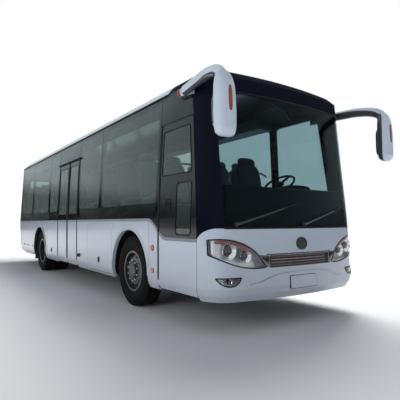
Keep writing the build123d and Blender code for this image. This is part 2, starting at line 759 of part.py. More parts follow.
for name, side in (("right", -1), ("left", 1)):
    with BuildPart() as frame:
        extrude(side_section(side, belt_z, drip_z, glass_thick, wall, rear_seam_x),
                amount=front_seam_x - rear_seam_x)
        for x0, x1, low_z in panes[name]:
            if low_z < sill_z:
                rake = seam_x(sill_z) - seam_x(head_z) if x1 == front_seam_x else 0.0
                ahead = min(x1, seam_x(sill_z)) - pillar
                side_cut(side_window(x0 + pillar, ahead, sill_z, head_z, pillar, rake), side)
            else:
                side_cut(side_window(x0, x1, 0, low_z, 0), side)
        seam_cut(side, 0)
    save(frame, f"{name}_window_frame")

    with BuildPart() as glass:
        for x0, x1, low_z in panes[name]:
            pane = side_section(side, low_z, drip_z, 0, glass_thick, x0 + pane_gap / 2)
            extrude(pane, amount=x1 - x0 - pane_gap)
        seam_cut(side, pane_gap / 2)
    save(glass, f"{name}_side_glass")

# Roof between the two end caps: an arched shell that lands on the window frames.
roof_front_x = front_x - dome_setback - dome_length
roof_rear_x = rear_x + rear_lean + rear_cap_length


def roof_arcs(depth):
    """Arcs of the roof's section, at a depth below its outside."""
    cove = cove_radius - depth
    crown = crown_radius - depth
    start = asin((drip_z - cove_z) / cove)
    end = radians(cove_end_deg)
    middle = (start + end) / 2
    points = [(cove_y + cove * cos(a), cove_z + cove * sin(a)) for a in (start, middle, end)]
    for sign in (-1, 1):
        ThreePointArc(*[(sign * y, z) for y, z in points])
    top = (0, roof_z - depth)
    ThreePointArc((-points[2][0], points[2][1]), top, points[2])
    return points[0]


with BuildPart() as roof:
    with BuildSketch(Plane.YZ.offset(roof_rear_x)):
        with BuildLine():
            outer = roof_arcs(0)
            inner = roof_arcs(roof_wall)
            for sign in (-1, 1):
                Line((sign * outer[0], outer[1]), (sign * inner[0], inner[1]))
        make_face()
    extrude(amount=roof_front_x - roof_rear_x)
save(roof, "roof")


def cap(face, tip, length, bow, base_x, levels):
    """A roof end that rises from the drip line to the crown as its plan outline shrinks."""
    rise = roof_z - drip_z
    for inset, mode in ((0.0, Mode.ADD), (roof_wall, Mode.SUBTRACT)):
        sections = []
        for setback, height, corner in levels:
            z = drip_z + height * rise
            half = half_width(z)
            sections.append(end_section(
                face, z - inset * height, tip - setback * length - inset, half - inset,
                bow - inset, corner * half - inset * corner, base_x - inset))
        loft(sections, ruled=True, mode=mode)


# Windscreen frame: a pillar on each side, the header above and the rounded dome behind it.
dome_levels = [
    # share of the dome's length, share of its rise, corner radius as a share of the half width
    (0.0, 0.0, 0.25), (0.075, 0.24, 0.27), (0.18, 0.43, 0.29), (0.31, 0.59, 0.30),
    (0.53, 0.77, 0.27), (0.73, 0.88, 0.20), (0.88, 0.945, 0.14),
]
cheek_low_z = screen_low_z - 120.0
cheek_length = 220.0
cheek_bulge = (0.46, 0.37)


def cheek(mode):
    """Cut, or keep, what lies above the front panel's rounded outer corners, seen from the side."""
    start = (front_seam_x, cheek_low_z)
    end = (front_seam_x + cheek_length, screen_low_z)
    bulge = (start[0] + cheek_bulge[0] * cheek_length, end[1] - cheek_bulge[1] * (end[1] - start[1]))
    with BuildSketch(Plane.XZ) as corner:
        with BuildLine():
            ThreePointArc(start, bulge, end)
            Line(end, (front_seam_x, screen_low_z))
            Line((front_seam_x, screen_low_z), start)
        make_face()
    extrude(corner.sketch, amount=body_width, both=True, mode=mode)


with BuildPart() as cheeks:
    front_shell([cheek_low_z, screen_low_z], wall)
    cheek(Mode.INTERSECT)

with BuildPart() as windscreen_frame:
    front_shell([screen_low_z, belt_z, screen_top_z], wall)
    add(cheeks.part)
    with BuildSketch(Plane.XY.offset(screen_low_z)):
        with Locations((front_x, 0)):
            Rectangle(2 * front_seam, 2 * screen_half)
    extrude(amount=screen_top_z - screen_low_z, mode=Mode.SUBTRACT)
    front_shell([screen_top_z, drip_z], wall)
    cap(1, nose_tip(drip_z), dome_length, front_bow, roof_front_x, dome_levels)
save(windscreen_frame, "windscreen_frame")

# Windscreen: one bowed and raked sheet between the pillars
with BuildPart() as windscreen:
    front_shell([screen_low_z, belt_z, screen_top_z], screen_thick)
    with BuildSketch(Plane.XY.offset(screen_low_z)):
        with Locations((front_x, 0)):
            Rectangle(2 * front_seam, 2 * screen_half)
    extrude(amount=screen_top_z - screen_low_z, mode=Mode.INTERSECT)
save(windscreen, "windscreen")

# Headlamps wrap round the front corners; the fog lamps and the grille sit between and below them.
lamp_top = [
    # inboard of the side, height: outer end, middle and inner end of the upper edge
    (28.0, 1045.0), (290.0, 1030.0), (560.0, 890.0),
]
lamp_low = [
    # inboard of the side, height: pointed inner end, middle and outer end of the lower edge
    (680.0, 730.0), (330.0, 752.0), (28.0, 880.0),
]
fog_outline = [
    # inboard of the side, height: the two ends of the flat top and the foot of the round below it
    (343.0, 630.0), (70.0, 630.0), (206.0, 540.0),
]
grille_half = side_y - 730.0
grille_low_z = 722.0
grille_high_z = 860.0
grille_bars = 4


def front_prism(kind):
    """Outline of a lamp pair or of the grille seen from the front, pushed through the front."""
    with BuildSketch(Plane.YZ.offset(front_seam_x)) as outline:
        for sign in (-1, 1):
            if kind == "lamps":
                top, low, fog = ([(sign * (side_y - inboard), z) for inboard, z in edge]
                                 for edge in (lamp_top, lamp_low, fog_outline))
                with BuildLine():
                    ThreePointArc(*top)
                    Line(top[-1], low[0])
                    ThreePointArc(*low)
                    Line(low[-1], top[0])
                make_face()
                with BuildLine():
                    Line(fog[0], fog[1])
                    ThreePointArc(fog[0], fog[2], fog[1])
                make_face()
        if kind == "grille":
            with Locations((0, (grille_low_z + grille_high_z) / 2)):
                Rectangle(2 * grille_half, grille_high_z - grille_low_z)
    return outline.sketch


with BuildPart() as front_panel:
    front_shell([bumper_top_z, screen_low_z], wall)
    cheek(Mode.SUBTRACT)
    for kind in ("lamps", "grille"):
        extrude(front_prism(kind), amount=2 * front_seam, mode=Mode.SUBTRACT)
save(front_panel, "front_panel")

with BuildPart() as front_bumper:
    front_shell([skirt_z, (skirt_z + tuck_top_z) / 2, tuck_top_z, bumper_top_z], wall)
    extrude(front_prism("lamps"), amount=2 * front_seam, mode=Mode.SUBTRACT)
save(front_bumper, "front_bumper")

with BuildPart() as front_lamps:
    front_shell([tuck_top_z, bumper_top_z, screen_low_z], wall)
    extrude(front_prism("lamps"), amount=2 * front_seam, mode=Mode.INTERSECT)
save(front_lamps, "front_lamps")

with BuildPart() as grille:
    front_shell([bumper_top_z, screen_low_z], wall)
    extrude(front_prism("grille"), amount=2 * front_seam, mode=Mode.INTERSECT)
    pitch = (grille_high_z - grille_low_z) / grille_bars
    with BuildSketch(Plane.YZ.offset(front_seam_x)) as slots:
        for number in range(grille_bars):
            with Locations((0, grille_low_z + (number + 0.5) * pitch)):
                Rectangle(2 * grille_half - pitch, pitch / 2)
    extrude(slots.sketch, amount=2 * front_seam, mode=Mode.SUBTRACT)
save(grille, "grille")

# Rear: bumper, wall with its window, lamps and engine hatch, and the rounded roof end.
rear_bumper_z = 760.0
rear_window_half = side_y - 330.0
rear_window = (1620.0, drip_z - 326.0)
hatch_half = side_y - 450.0
hatch_low_z = 790.0
hatch_axis_z = 1500.0
hatch_hinge_half = 250.0
tail_lamp = (side_y - 300.0, side_y - 140.0, 800.0, 1480.0)


def rear_cut(kind, mode):
    """Cut, or keep, what an outline seen from behind covers."""
    with BuildSketch(Plane.YZ.offset(rear_x - wall)) as outline:
        if kind == "window":
            with Locations((0, sum(rear_window) / 2)):
                RectangleRounded(2 * rear_window_half, rear_window[1] - rear_window[0], pillar)
        if kind == "hatch opening":
            top = hatch_axis_z + hinge_radius + fit
            with Locations((0, (hatch_low_z - door_gap + top) / 2)):
                Rectangle(2 * (hatch_half + door_gap), top - hatch_low_z + door_gap)
        if kind == "hatch":
            with Locations((0, (hatch_low_z + hatch_axis_z) / 2)):
                Rectangle(2 * hatch_half, hatch_axis_z - hatch_low_z)
        if kind == "lamps":
            inner_edge, outer_edge, low_z, high_z = tail_lamp
            for sign in (-1, 1):
                with Locations((sign * (inner_edge + outer_edge) / 2, (low_z + high_z) / 2)):
                    RectangleRounded(outer_edge - inner_edge, high_z - low_z, pillar)
    extrude(outline.sketch, amount=rear_seam + wall, mode=mode)


rear_levels = [
    # share of the cap's length, share of its rise, corner radius as a share of the half width
    (0.0, 0.0, 0.215), (0.12, 0.45, 0.22), (0.35, 0.77, 0.22), (0.70, 0.93, 0.14),
]
with BuildPart() as rear_wall:
    rear_shell([rear_bumper_z, belt_z, drip_z], wall)
    cap(-1, tail_tip(drip_z), rear_cap_length, rear_bow, -roof_rear_x, rear_levels)
    for kind in ("window", "hatch opening", "lamps"):
        rear_cut(kind, Mode.SUBTRACT)
save(rear_wall, "rear_wall")

with BuildPart() as rear_glass:
    rear_shell([rear_bumper_z, belt_z, drip_z], glass_thick)
    rear_cut("window", Mode.INTERSECT)
save(rear_glass, "rear_window")

with BuildPart() as tail_lamps:
    rear_shell([rear_bumper_z, belt_z, drip_z], wall)
    rear_cut("lamps", Mode.INTERSECT)
save(tail_lamps, "tail_lamps")

with BuildPart() as hatch:
    rear_shell([rear_bumper_z, belt_z, drip_z], leaf_thick)
    rear_cut("hatch", Mode.INTERSECT)
    with BuildSketch(Plane.XZ):
        with Locations((hinge_radius - tail_tip(hatch_axis_z), hatch_axis_z)):
            Circle(hinge_radius)
    extrude(amount=hatch_hinge_half, both=True)
save(hatch, "engine_hatch")

with BuildPart() as rear_bumper:
    rear_shell([rear_skirt_z, rear_bumper_z], wall)
save(rear_bumper, "rear_bumper")

# Low air conditioner on the crown of the roof
cooler_half = 590.0
cooler_length = 2300.0
cooler_x = rear_axle_x + 1850.0
cooler_height = 85.0
cooler_rake = 220.0
cooler_slope = 60.0
cooler_crest = 160.0
cooler_round = 20.0
with BuildPart() as cooler:
    edge_z = roof_z - crown_radius + sqrt(crown_radius**2 - cooler_half**2)
    with BuildSketch(Plane.YZ.offset(cooler_x - cooler_length / 2)):
        with BuildLine():
            ThreePointArc((-cooler_half, edge_z), (0, roof_z), (cooler_half, edge_z))
            top_z = roof_z + cooler_height
            Polyline((cooler_half, edge_z), (cooler_half - cooler_slope, top_z - cooler_round),
                     (cooler_half - cooler_crest, top_z), (cooler_crest - cooler_half, top_z),
                     (cooler_slope - cooler_half, top_z - cooler_round), (-cooler_half, edge_z))
        make_face()
    extrude(amount=cooler_length)
    with BuildSketch(Plane.XZ):
        with BuildLine():
            Polyline((cooler_x - cooler_length / 2, edge_z), (cooler_x + cooler_length / 2, edge_z),
                     (cooler_x + cooler_length / 2 - cooler_rake, roof_z + cooler_height),
                     (cooler_x - cooler_length / 2 + cooler_rake, roof_z + cooler_height), close=True)
        make_face()
    extrude(amount=cooler_half, both=True, mode=Mode.INTERSECT)
save(cooler, "roof_cooler")

# Doors: each leaf rides on two cranked arms that turn with a post beside the jamb.
door_swing = 125.0
front_pin_inset = 48.0
mid_pin_inset = 105.0
front_arm = (520.0, 220.0, inner_y - front_pin_inset, (560.0, 1020.0))
mid_arm = (380.0, 200.0, inner_y - mid_pin_inset, (480.0, door_top_z - 52.0))
door_leaves = [
    # name, rear x, front x, way it opens,
    # arm's reach, first stretch of its crank, distance of post and pin from the middle, heights of the arms
    ("front_door", front_door_x, front_seam_x, 1, *front_arm),
    ("mid_door_front", mid_split_x, mid_front_x, 1, *mid_arm),
    ("mid_door_rear", mid_rear_x, mid_split_x, -1, *mid_arm),
]
leaf_top_z = door_top_z - door_gap
window_top_z = door_top_z - 100.0
mid_glass_z = (1420.0, window_top_z)
mid_margin = 62.0
rear_margin = 85.0
front_margin = 75.0
quarter_margin = 455.0
upper_low_z = 1830.0
quarter_z = (1090.0, 1715.0)
front_windows = [
    # rear x, front x, low z, high z
    (front_door_x + rear_margin, seam_x(upper_low_z) - front_margin, upper_low_z, window_top_z),
    (front_door_x + quarter_margin, seam_x(quarter_z[1]) - front_margin, *quarter_z),
]
window_corner = 45.0
lug_plate = 14.0
eye_radius = 22.0


def rake_of(name, window):
    """How far a window's front edge leans back: only the front door's upper window does."""
    if name == "front_door" and window[2] > belt_z:
        return seam_x(window[2]) - seam_x(window[3])
    return 0.0


for name, x0, x1, way, reach, crank, pin_y, arm_heights in door_leaves:
    low_x = x0 + (door_gap if name != "mid_door_front" else door_gap / 2)
    high_x = x1 - (door_gap if name != "mid_door_rear" else door_gap / 2)
    if name == "front_door":
        windows = front_windows
    else:
        windows = [(low_x + mid_margin, high_x - mid_margin, *mid_glass_z)]
    post_x = x1 - post_inset if way > 0 else x0 + post_inset
    pin_x = post_x - way * reach

    with BuildPart() as leaf:
        extrude(side_section(-1, leaf_low_z, leaf_top_z, 0, leaf_thick, low_x), amount=high_x - low_x)
        if name == "front_door":
            seam_cut(-1, door_gap)
        for window in windows:
            side_cut(side_window(*window, window_corner, rake_of(name, window)), -1)
        for z in arm_heights:
            leaf_y = half_width(z) - leaf_thick / 2
            with BuildSketch(Plane.XY.offset(z + arm_thick / 2 + bearing_gap)) as lug:
                with Locations((pin_x, -(pin_y + leaf_y) / 2)):
                    Rectangle(2 * eye_radius, leaf_y - pin_y)
                with Locations((pin_x, -pin_y)):
                    Circle(eye_radius)
            extrude(lug.sketch, amount=lug_plate)
            with BuildSketch(Plane.XY.offset(z - arm_thick / 2)) as pin:
                with Locations((pin_x, -pin_y)):
                    Circle(pin_radius)
            extrude(pin.sketch, amount=arm_thick + bearing_gap)
    save(leaf, name)

    with BuildPart() as leaf_glass:
        for window in windows:
            extrude(side_window(*window, window_corner, rake_of(name, window)), amount=body_width)
        extrude(side_section(-1, tuck_top_z, leaf_top_z, fit, glass_thick, low_x),
                amount=high_x - low_x, mode=Mode.INTERSECT)
    save(leaf_glass, f"{name}_glass")

    with BuildPart() as arms:
        with BuildSketch(Plane.XY.offset(first_step_z + fit)):
            with Locations((post_x, -pin_y)):
                Circle(post_radius)
        extrude(amount=arm_heights[-1] + arm_thick - first_step_z)
        lean = radians(270.0 - door_swing)
        bend = (post_x + way * crank * cos(lean), -pin_y + crank * sin(lean))
        for z in arm_heights:
            with BuildSketch(Plane.XY.offset(z - arm_thick / 2)) as arm:
                with BuildLine():
                    Polyline((post_x, -pin_y), bend, (pin_x, -pin_y))
                trace(line_width=arm_width)
                with Locations((pin_x, -pin_y)):
                    Circle(eye_radius)
            extrude(arm.sketch, amount=arm_thick)
            with BuildSketch(Plane.XY.offset(z - arm_thick / 2)) as bore:
                with Locations((pin_x, -pin_y)):
                    Circle(pin_radius + pin_gap)
            extrude(bore.sketch, amount=arm_thick, mode=Mode.SUBTRACT)
    save(arms, f"{name}_arms")

# Mirrors: a base on the header, an arm that reaches forward and a hanging head.
base_x = (front_x - 880.0, front_x - 610.0)
base_z = (drip_z - 151.0, drip_z - 26.0)
base_out = 70.0
arm_radius = 52.0
arm_bend = 120.0
arm_start = (front_x - 690.0, side_y - 22.0)
arm_splay = 10.0
arm_route = [
    # forward along the arm, height above the drip line
    (0.0, -88.0), (540.0, -88.0), (835.0, -166.0), (905.0, -326.0),
]
head_x = front_x + mirror_reach
head_depth = 150.0
head_width = 240.0
head_y = side_y + 128.0
head_levels = [
    # height above the drip line, share of the depth, share of the width, how far the front stands back
    (-826.0, 0.40, 0.50, 40.0), (-796.0, 0.78, 0.85, 12.0), (-726.0, 0.97, 0.98, 0.0), (-576.0, 1.0, 1.0, 2.0),
    (-326.0, 0.95, 0.90, 16.0), (-206.0, 0.72, 0.60, 50.0),
]
head_round = 0.42
splay = radians(arm_splay)
arm_plane = Plane(origin=(*arm_start, 0), x_dir=(cos(splay), sin(splay), 0), z_dir=(sin(splay), -cos(splay), 0))
with BuildPart() as mirrors:
    extrude(side_section(1, *base_z, -base_out, 0, base_x[0]), amount=base_x[1] - base_x[0])
    with BuildLine(arm_plane) as route:
        FilletPolyline(*[(forward, drip_z + up) for forward, up in arm_route], radius=arm_bend)
    with BuildSketch(Plane(origin=route.line @ 0, z_dir=route.line % 0)):
        Circle(arm_radius)
    sweep()
    slices = []
    for up, depth, width, back in head_levels:
        with BuildSketch(Plane.XY.offset(drip_z + up)) as level:
            with Locations((head_x - back - head_depth * depth / 2, head_y)):
                RectangleRounded(head_depth * depth, head_width * width, head_depth * depth * head_round)
        slices.append(level.sketch)
    loft(slices, ruled=True)
    mirror(about=Plane.XZ)
save(mirrors, "mirrors")

# Dashboard behind the windscreen, shaped to the bowed front
dash_gap = 15.0
dash_rear_x = front_seam_x - 330.0
dash_z = 1680.0
dash_half = side_y - 250.0
dash_slope = 60.0
dash_fall = 20.0
dash_face = 130.0
dash_under = 220.0
with BuildPart() as dashboard:
    heights = [floor_z, dash_z]
    loft([end_section(1, z, nose_tip(dash_z) - wall - dash_gap, half_width(dash_z) - wall - dash_gap,
                      front_bow, front_corner - wall, front_seam_x - front_seam) for z in heights], ruled=True)
    with BuildSketch(Plane.XZ):
        with BuildLine():
            Polyline((front_seam_x, floor_z), (front_x, floor_z), (front_x, dash_z - dash_slope),
                     (front_seam_x + dash_slope, dash_z), (dash_rear_x + dash_slope, dash_z - dash_fall),
                     (dash_rear_x, dash_z - dash_face), (front_seam_x, dash_z - dash_under), close=True)
        make_face()
    extrude(amount=dash_half, both=True, mode=Mode.INTERSECT)
    with BuildSketch(Plane.XY.offset(floor_z)):
        with Locations((front_seam_x - front_seam / 2, -side_y + well_y / 2)):
            Rectangle(front_seam, well_y)
    extrude(amount=dash_z, mode=Mode.SUBTRACT)
save(dashboard, "dashboard")

# Steering wheel on its raked column
helm_y = 620.0
helm_radius = 230.0
helm_tube = 16.0
helm_sides = 8
helm_spoke = 40.0
helm_boss = 70.0
helm_column = 30.0
helm_tilt = 28.0
helm_at = (front_seam_x - 550.0, helm_y, dash_z + 120.0)
helm_plane = Plane(origin=helm_at, z_dir=(-sin(radians(helm_tilt)), 0, cos(radians(helm_tilt))))
column_length = (helm_at[2] - floor_z) / cos(radians(helm_tilt))
with BuildPart() as helm:
    with BuildSketch(Plane(origin=helm_at, x_dir=helm_plane.x_dir, z_dir=-helm_plane.y_dir)):
        with Locations((helm_radius, 0)):
            RegularPolygon(helm_tube, helm_sides)
    revolve(axis=Axis(helm_at, helm_plane.z_dir))
    with Locations(helm_plane):
        Box(2 * helm_radius, helm_spoke, helm_tube)
        Cylinder(helm_boss, 2 * helm_tube)
        Cylinder(helm_column, column_length + helm_boss, align=(Align.CENTER, Align.CENTER, Align.MAX))
    split(bisect_by=Plane.XY.offset(floor_z), keep=Keep.TOP)
save(helm, "steering_wheel")

# Seats: a double seat in each row, with a bench along the rear, and the driver's own seat.
seat_pitch = 760.0
seat_width = 880.0
seat_outline = [
    # forward of the back's foot, height above the floor
    (60.0, 0.0), (330.0, 0.0), (330.0, 290.0), (470.0, 310.0), (470.0, 420.0), (400.0, 450.0),
    (120.0, 430.0), (-40.0, 1060.0), (-100.0, 1110.0), (-160.0, 1080.0), (-20.0, 300.0), (60.0, 290.0),
]
seat_gap = 80.0
seat_front = max(forward for forward, _ in seat_outline)
seat_back = -min(forward for forward, _ in seat_outline)
first_row_x = axle_x + 60.0
bench_x = rear_x + 750.0
row_count = int((first_row_x - seat_back - bench_x - seat_front) // seat_pitch) + 1
left_rows = [first_row_x - seat_pitch * number for number in range(row_count)]
right_rows = [x for x in left_rows if x - seat_back > mid_front_x or x + seat_front < mid_rear_x]


def seat(x, y, width):
    """One seat: its side outline pushed across its width."""
    with BuildSketch(Plane.XZ.offset(-y - width / 2)) as outline:
        with BuildLine():
            Polyline(*[(x + forward, floor_z + up) for forward, up in seat_outline], close=True)
        make_face()
    extrude(outline.sketch, amount=width)


driver_x = axle_x + 600.0
driver_width = 500.0
with BuildPart() as seats:
    for side, places in ((-1, right_rows), (1, left_rows)):
        for x in places:
            seat(x, side * (inner_y - seat_gap - seat_width / 2), seat_width)
    seat(bench_x, 0, 2 * (inner_y - seat_gap))
    seat(driver_x, helm_y, driver_width)
save(seats, "seats")

# Luggage racks along the tops of the windows
rack_low_z = drip_z - 96.0
rack_high_z = drip_z - 6.0
rack_depth = 360.0
rack_lip = 60.0
rack_x = (rear_seam_x + 100.0, axle_x + 600.0)
with BuildPart() as racks:
    for side in (-1, 1):
        with BuildSketch(Plane.YZ.offset(rack_x[0])) as shelf:
            with BuildLine():
                low_y = half_width(rack_low_z) - wall
                high_y = half_width(rack_high_z) - wall
                Polyline((side * low_y, rack_low_z), (side * high_y, rack_high_z),
                         (side * (high_y - rack_depth), rack_high_z + rack_lip),
                         (side * (high_y - rack_depth), rack_high_z),
                         (side * (high_y - rack_depth + rack_lip), rack_low_z), close=True)
            make_face()
        extrude(shelf.sketch, amount=rack_x[1] - rack_x[0])
save(racks, "luggage_racks")
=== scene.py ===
from math import cos, hypot, pi, radians, sin

import bmesh
import bpy
from mathutils import Matrix, Vector
from mathutils.bvhtree import BVHTree


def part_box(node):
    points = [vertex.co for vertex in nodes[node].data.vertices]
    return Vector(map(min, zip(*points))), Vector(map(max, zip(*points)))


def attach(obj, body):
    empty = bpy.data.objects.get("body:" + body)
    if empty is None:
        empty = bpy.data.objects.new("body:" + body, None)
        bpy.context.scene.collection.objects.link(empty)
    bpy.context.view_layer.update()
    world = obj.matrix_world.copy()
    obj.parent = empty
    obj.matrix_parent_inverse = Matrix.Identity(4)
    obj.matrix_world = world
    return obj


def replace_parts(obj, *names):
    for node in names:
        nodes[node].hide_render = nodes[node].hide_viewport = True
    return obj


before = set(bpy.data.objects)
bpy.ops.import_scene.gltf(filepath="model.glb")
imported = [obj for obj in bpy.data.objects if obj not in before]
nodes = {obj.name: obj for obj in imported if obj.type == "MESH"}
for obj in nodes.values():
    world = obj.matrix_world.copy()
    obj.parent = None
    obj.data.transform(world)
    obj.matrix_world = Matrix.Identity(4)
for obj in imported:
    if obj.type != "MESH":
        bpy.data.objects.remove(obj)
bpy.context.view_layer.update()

# Running gear: pressed rails, a forged front beam, a cast banjo axle and rolled steel hold panels.
# They are welded or bolted under the floor and sprayed with black chassis enamel, which road dust dulls.


def linear(code):
    """An sRGB hex colour as linear RGBA."""
    shares = [int(code[start:start + 2], 16) / 255 for start in (1, 3, 5)]
    return [s / 12.92 if s <= 0.04045 else ((s + 0.055) / 1.055) ** 2.4 for s in shares] + [1.0]


def add(tree, kind, inputs, **settings):
    """Add a shader node with its settings; an input is a value, or another node's output to link."""
    made = tree.nodes.new(kind)
    for key, value in settings.items():
        setattr(made, key, value)
    for key, value in inputs.items():
        if isinstance(value, bpy.types.NodeSocket):
            tree.links.new(value, made.inputs[key])
        else:
            made.inputs[key].default_value = value
    return made


def per_metre(millimetres):
    """Pattern scale that gives features of this size."""
    return 1000.0 / millimetres


def blank(name):
    """A new material, its node tree, its shader and the place on the object."""
    made = bpy.data.materials.new(name)
    made.use_nodes = True
    tree = made.node_tree
    return made, tree, tree.nodes["Principled BSDF"], add(tree, "ShaderNodeTexCoord", {}).outputs["Object"]


def finish(name, colour, shade, patch, rough, grain, depth, sockets):
    """A surface whose colour and gloss wander over patches, with a fine grain; sizes are in mm."""
    made, tree, shader, where = blank(name)
    cloud = add(tree, "ShaderNodeTexNoise", {"Vector": where, "Scale": per_metre(patch), "Detail": 5.0})
    tint = add(tree, "ShaderNodeMix", {0: cloud.outputs["Fac"], 6: linear(colour), 7: linear(shade)},
               data_type="RGBA")
    gloss = add(tree, "ShaderNodeMapRange",
                {"Value": cloud.outputs["Fac"], "To Min": rough[0], "To Max": rough[1]})
    pits = add(tree, "ShaderNodeTexNoise", {"Vector": where, "Scale": per_metre(grain), "Detail": 2.0})
    bump = add(tree, "ShaderNodeBump", {"Height": pits.outputs["Fac"], "Distance": depth / 1000})
    tree.links.new(tint.outputs[2], shader.inputs["Base Color"])
    tree.links.new(gloss.outputs["Result"], shader.inputs["Roughness"])
    tree.links.new(bump.outputs["Normal"], shader.inputs["Normal"])
    for key, value in sockets.items():
        shader.inputs[key].default_value = value
    return made


def dress(made, *names):
    """Give CAD pieces a material."""
    for name in names:
        nodes[name].data.materials.clear()
        nodes[name].data.materials.append(made)


# Enamel that was glossy once: dark, with brown dust in soft patches.
chassis_enamel = finish("black_chassis_enamel", "#141416", "#2e2b28", 160, (0.40, 0.75), 6, 0.25,
                        {"Specular IOR Level": 0.35})
dress(chassis_enamel, "chassis_rails", "cross_members", "frame_brackets", "front_axle", "rear_axle",
      "knuckle_right", "knuckle_left", "track_rod", "luggage_hold")
# Bare castings: dull grey iron with the sand's pitting.
cast_iron = finish("sand_cast_iron", "#3c3c3e", "#57534e", 90, (0.55, 0.85), 4, 0.5, {"Metallic": 0.6})
dress(cast_iron, "engine")
# Moulded rubber bellows: matt, a little grey with age.
bellows_rubber = finish("moulded_bellows_rubber", "#151516", "#232223", 60, (0.65, 0.85), 3, 0.2, {})
dress(bellows_rubber, "air_springs")

# Tyres: 295/80 radials on 22.5 inch rims, twinned at the rear. They are vulcanised black rubber, moulded
# with four running grooves, notched shoulders and raised rings on the sidewalls.


def skin(rings, loop=False):
    """Join rings of as many points into a surface, closed on itself or capped at both ends."""
    count = len(rings[0])
    verts = [tuple(point) for ring in rings for point in ring]
    faces = []
    for row in range(len(rings) if loop else len(rings) - 1):
        near, far = row * count, (row + 1) % len(rings) * count
        faces += [(near + n, near + (n + 1) % count, far + (n + 1) % count, far + n) for n in range(count)]
    if not loop:
        faces += [tuple(range(count)), tuple(reversed(range(len(verts) - count, len(verts))))]
    return verts, faces


def joined(shapes):
    """Several shapes as one list of points and faces."""
    verts, faces = [], []
    for points, sides in shapes:
        faces += [tuple(n + len(verts) for n in side) for side in sides]
        verts += points
    return verts, faces


def piece(name, shape, made, body, smooth=32):
    """Make a mesh object of a shape, with its material, on its body."""
    mesh = bpy.data.meshes.new(name)
    mesh.from_pydata(shape[0], [], shape[1])
    tidy = bmesh.new()
    tidy.from_mesh(mesh)
    bmesh.ops.remove_doubles(tidy, verts=tidy.verts, dist=1e-6)
    bmesh.ops.recalc_face_normals(tidy, faces=tidy.faces)
    tidy.to_mesh(mesh)
    tidy.free()
    mesh.shade_smooth()
    mesh.set_sharp_from_angle(angle=radians(smooth))
    mesh.materials.append(made)
    item = bpy.data.objects.new(name, mesh)
    bpy.context.scene.collection.objects.link(item)
    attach(item, body)
    return item


tyre_segments = 120
tyre_width = 0.295
twin_spacing = 0.330
groove_half = 0.006
groove_wall = 0.002
groove_depth = 0.013
groove_places = (-0.075, -0.026, 0.026, 0.075)
notch_depth = 0.009
notch_every = 3
tread_half = 0.1125
bead_half = 0.1117
bead_radius = 0.2833
lip_radius = 0.3003
crown_radius = 0.5175
shoulder_radius = 0.4755
shoulder_half = 0.1355
shoulder_lean = 0.002
shoulder_rise = 0.010
corner_round = 0.004
wall_steps = 9
wall_arc = 0.8
wall_taper = 0.12
raised_rings = (2, 6)
ring_height = 0.0015


def tyre_outline():
    """Outline from one bead over the tread to the other, as (across, radius, is notched)."""
    half = [(bead_half, bead_radius, False)]
    for step in range(wall_steps):
        share = step / (wall_steps - 1)
        swell = (tyre_width / 2 - bead_half) * sin(pi * wall_arc * share) * (1 - wall_taper * share)
        rise = ring_height if step in raised_rings else 0.0
        across = min(tyre_width / 2, bead_half + swell + rise)
        half.append((across, lip_radius + (shoulder_radius - lip_radius) * share, False))
    half += [(shoulder_half, shoulder_radius + corner_round, False),
             (shoulder_half - shoulder_lean, shoulder_radius + shoulder_rise, True),
             (tread_half + corner_round, crown_radius - corner_round, True)]
    tread = [(-tread_half, crown_radius, False)]
    for place in groove_places:
        for across, drop in ((-groove_half, 0), (groove_wall - groove_half, groove_depth),
                             (groove_half - groove_wall, groove_depth), (groove_half, 0)):
            tread.append((place + across, crown_radius - drop, False))
    tread.append((tread_half, crown_radius, False))
    return [(-across, radius, notched) for across, radius, notched in half] + tread + list(reversed(half))


def tyre(x, y, z):
    """One tyre: the outline carried round the axle, with its notches."""
    rings = []
    for number in range(tyre_segments):
        angle = 2 * pi * number / tyre_segments
        ring = []
        for across, radius, notched in tyre_outline():
            reach = radius - (notch_depth if notched and number % notch_every == 0 else 0.0)
            ring.append((x + reach * sin(angle), y + across, z + reach * cos(angle)))
        rings.append(ring)
    return skin(rings, loop=True)


# Vulcanised rubber: nearly black and matt, browned by dust.
tyre_rubber = finish("vulcanised_tyre_rubber", "#0c0c0d", "#181615", 70, (0.72, 0.92), 5, 0.25,
                     {"Specular IOR Level": 0.2})
wheels = [
    # body, CAD piece of its tyres, side
    ("front_wheel_right", "front_tyre_right", -1), ("front_wheel_left", "front_tyre_left", 1),
    ("rear_wheels_right", "rear_tyres_right", -1), ("rear_wheels_left", "rear_tyres_left", 1),
]


def wheel_middle(node, side):
    """Middle of a wheel's outer tyre."""
    low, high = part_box(node)
    outer_face = low.y if side < 0 else high.y
    return Vector(((low.x + high.x) / 2, outer_face - side * tyre_width / 2, (low.z + high.z) / 2))


for body, node, side in wheels:
    middle = wheel_middle(node, side)
    spacings = (0.0,) if "front" in body else (0.0, twin_spacing)
    carcass = joined([tyre(middle.x, middle.y - side * spacing, middle.z) for spacing in spacings])
    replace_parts(piece(f"{node}_tread", carcass, tyre_rubber, body, smooth=40), node)
    dress(tyre_rubber, node)

# Wheels: pressed steel discs welded into rolled rims, enamelled silver and held by ten chromed nuts.
# The front discs stand out and the twin discs are dished in.
nut_count = 10
nut_sides = 6
nut_circle = 0.150
nut_across = 0.034
nut_height = 0.034
nut_steps = [
    # share of the height, share of the width
    (0.0, 1.12), (0.15, 1.12), (0.16, 1.0), (0.75, 1.0), (0.92, 0.80), (1.0, 0.35),
]
front_face = 0.098
twin_face = -0.151
valve_steps = [
    # distance along the stem, radius
    (0.0, 0.006), (0.02, 0.006), (0.022, 0.0045), (0.05, 0.0045), (0.052, 0.006), (0.06, 0.005),
]
valve_sides = 10
valve_circle = 0.205
valve_sunk = 0.03
valve_lean = 0.25


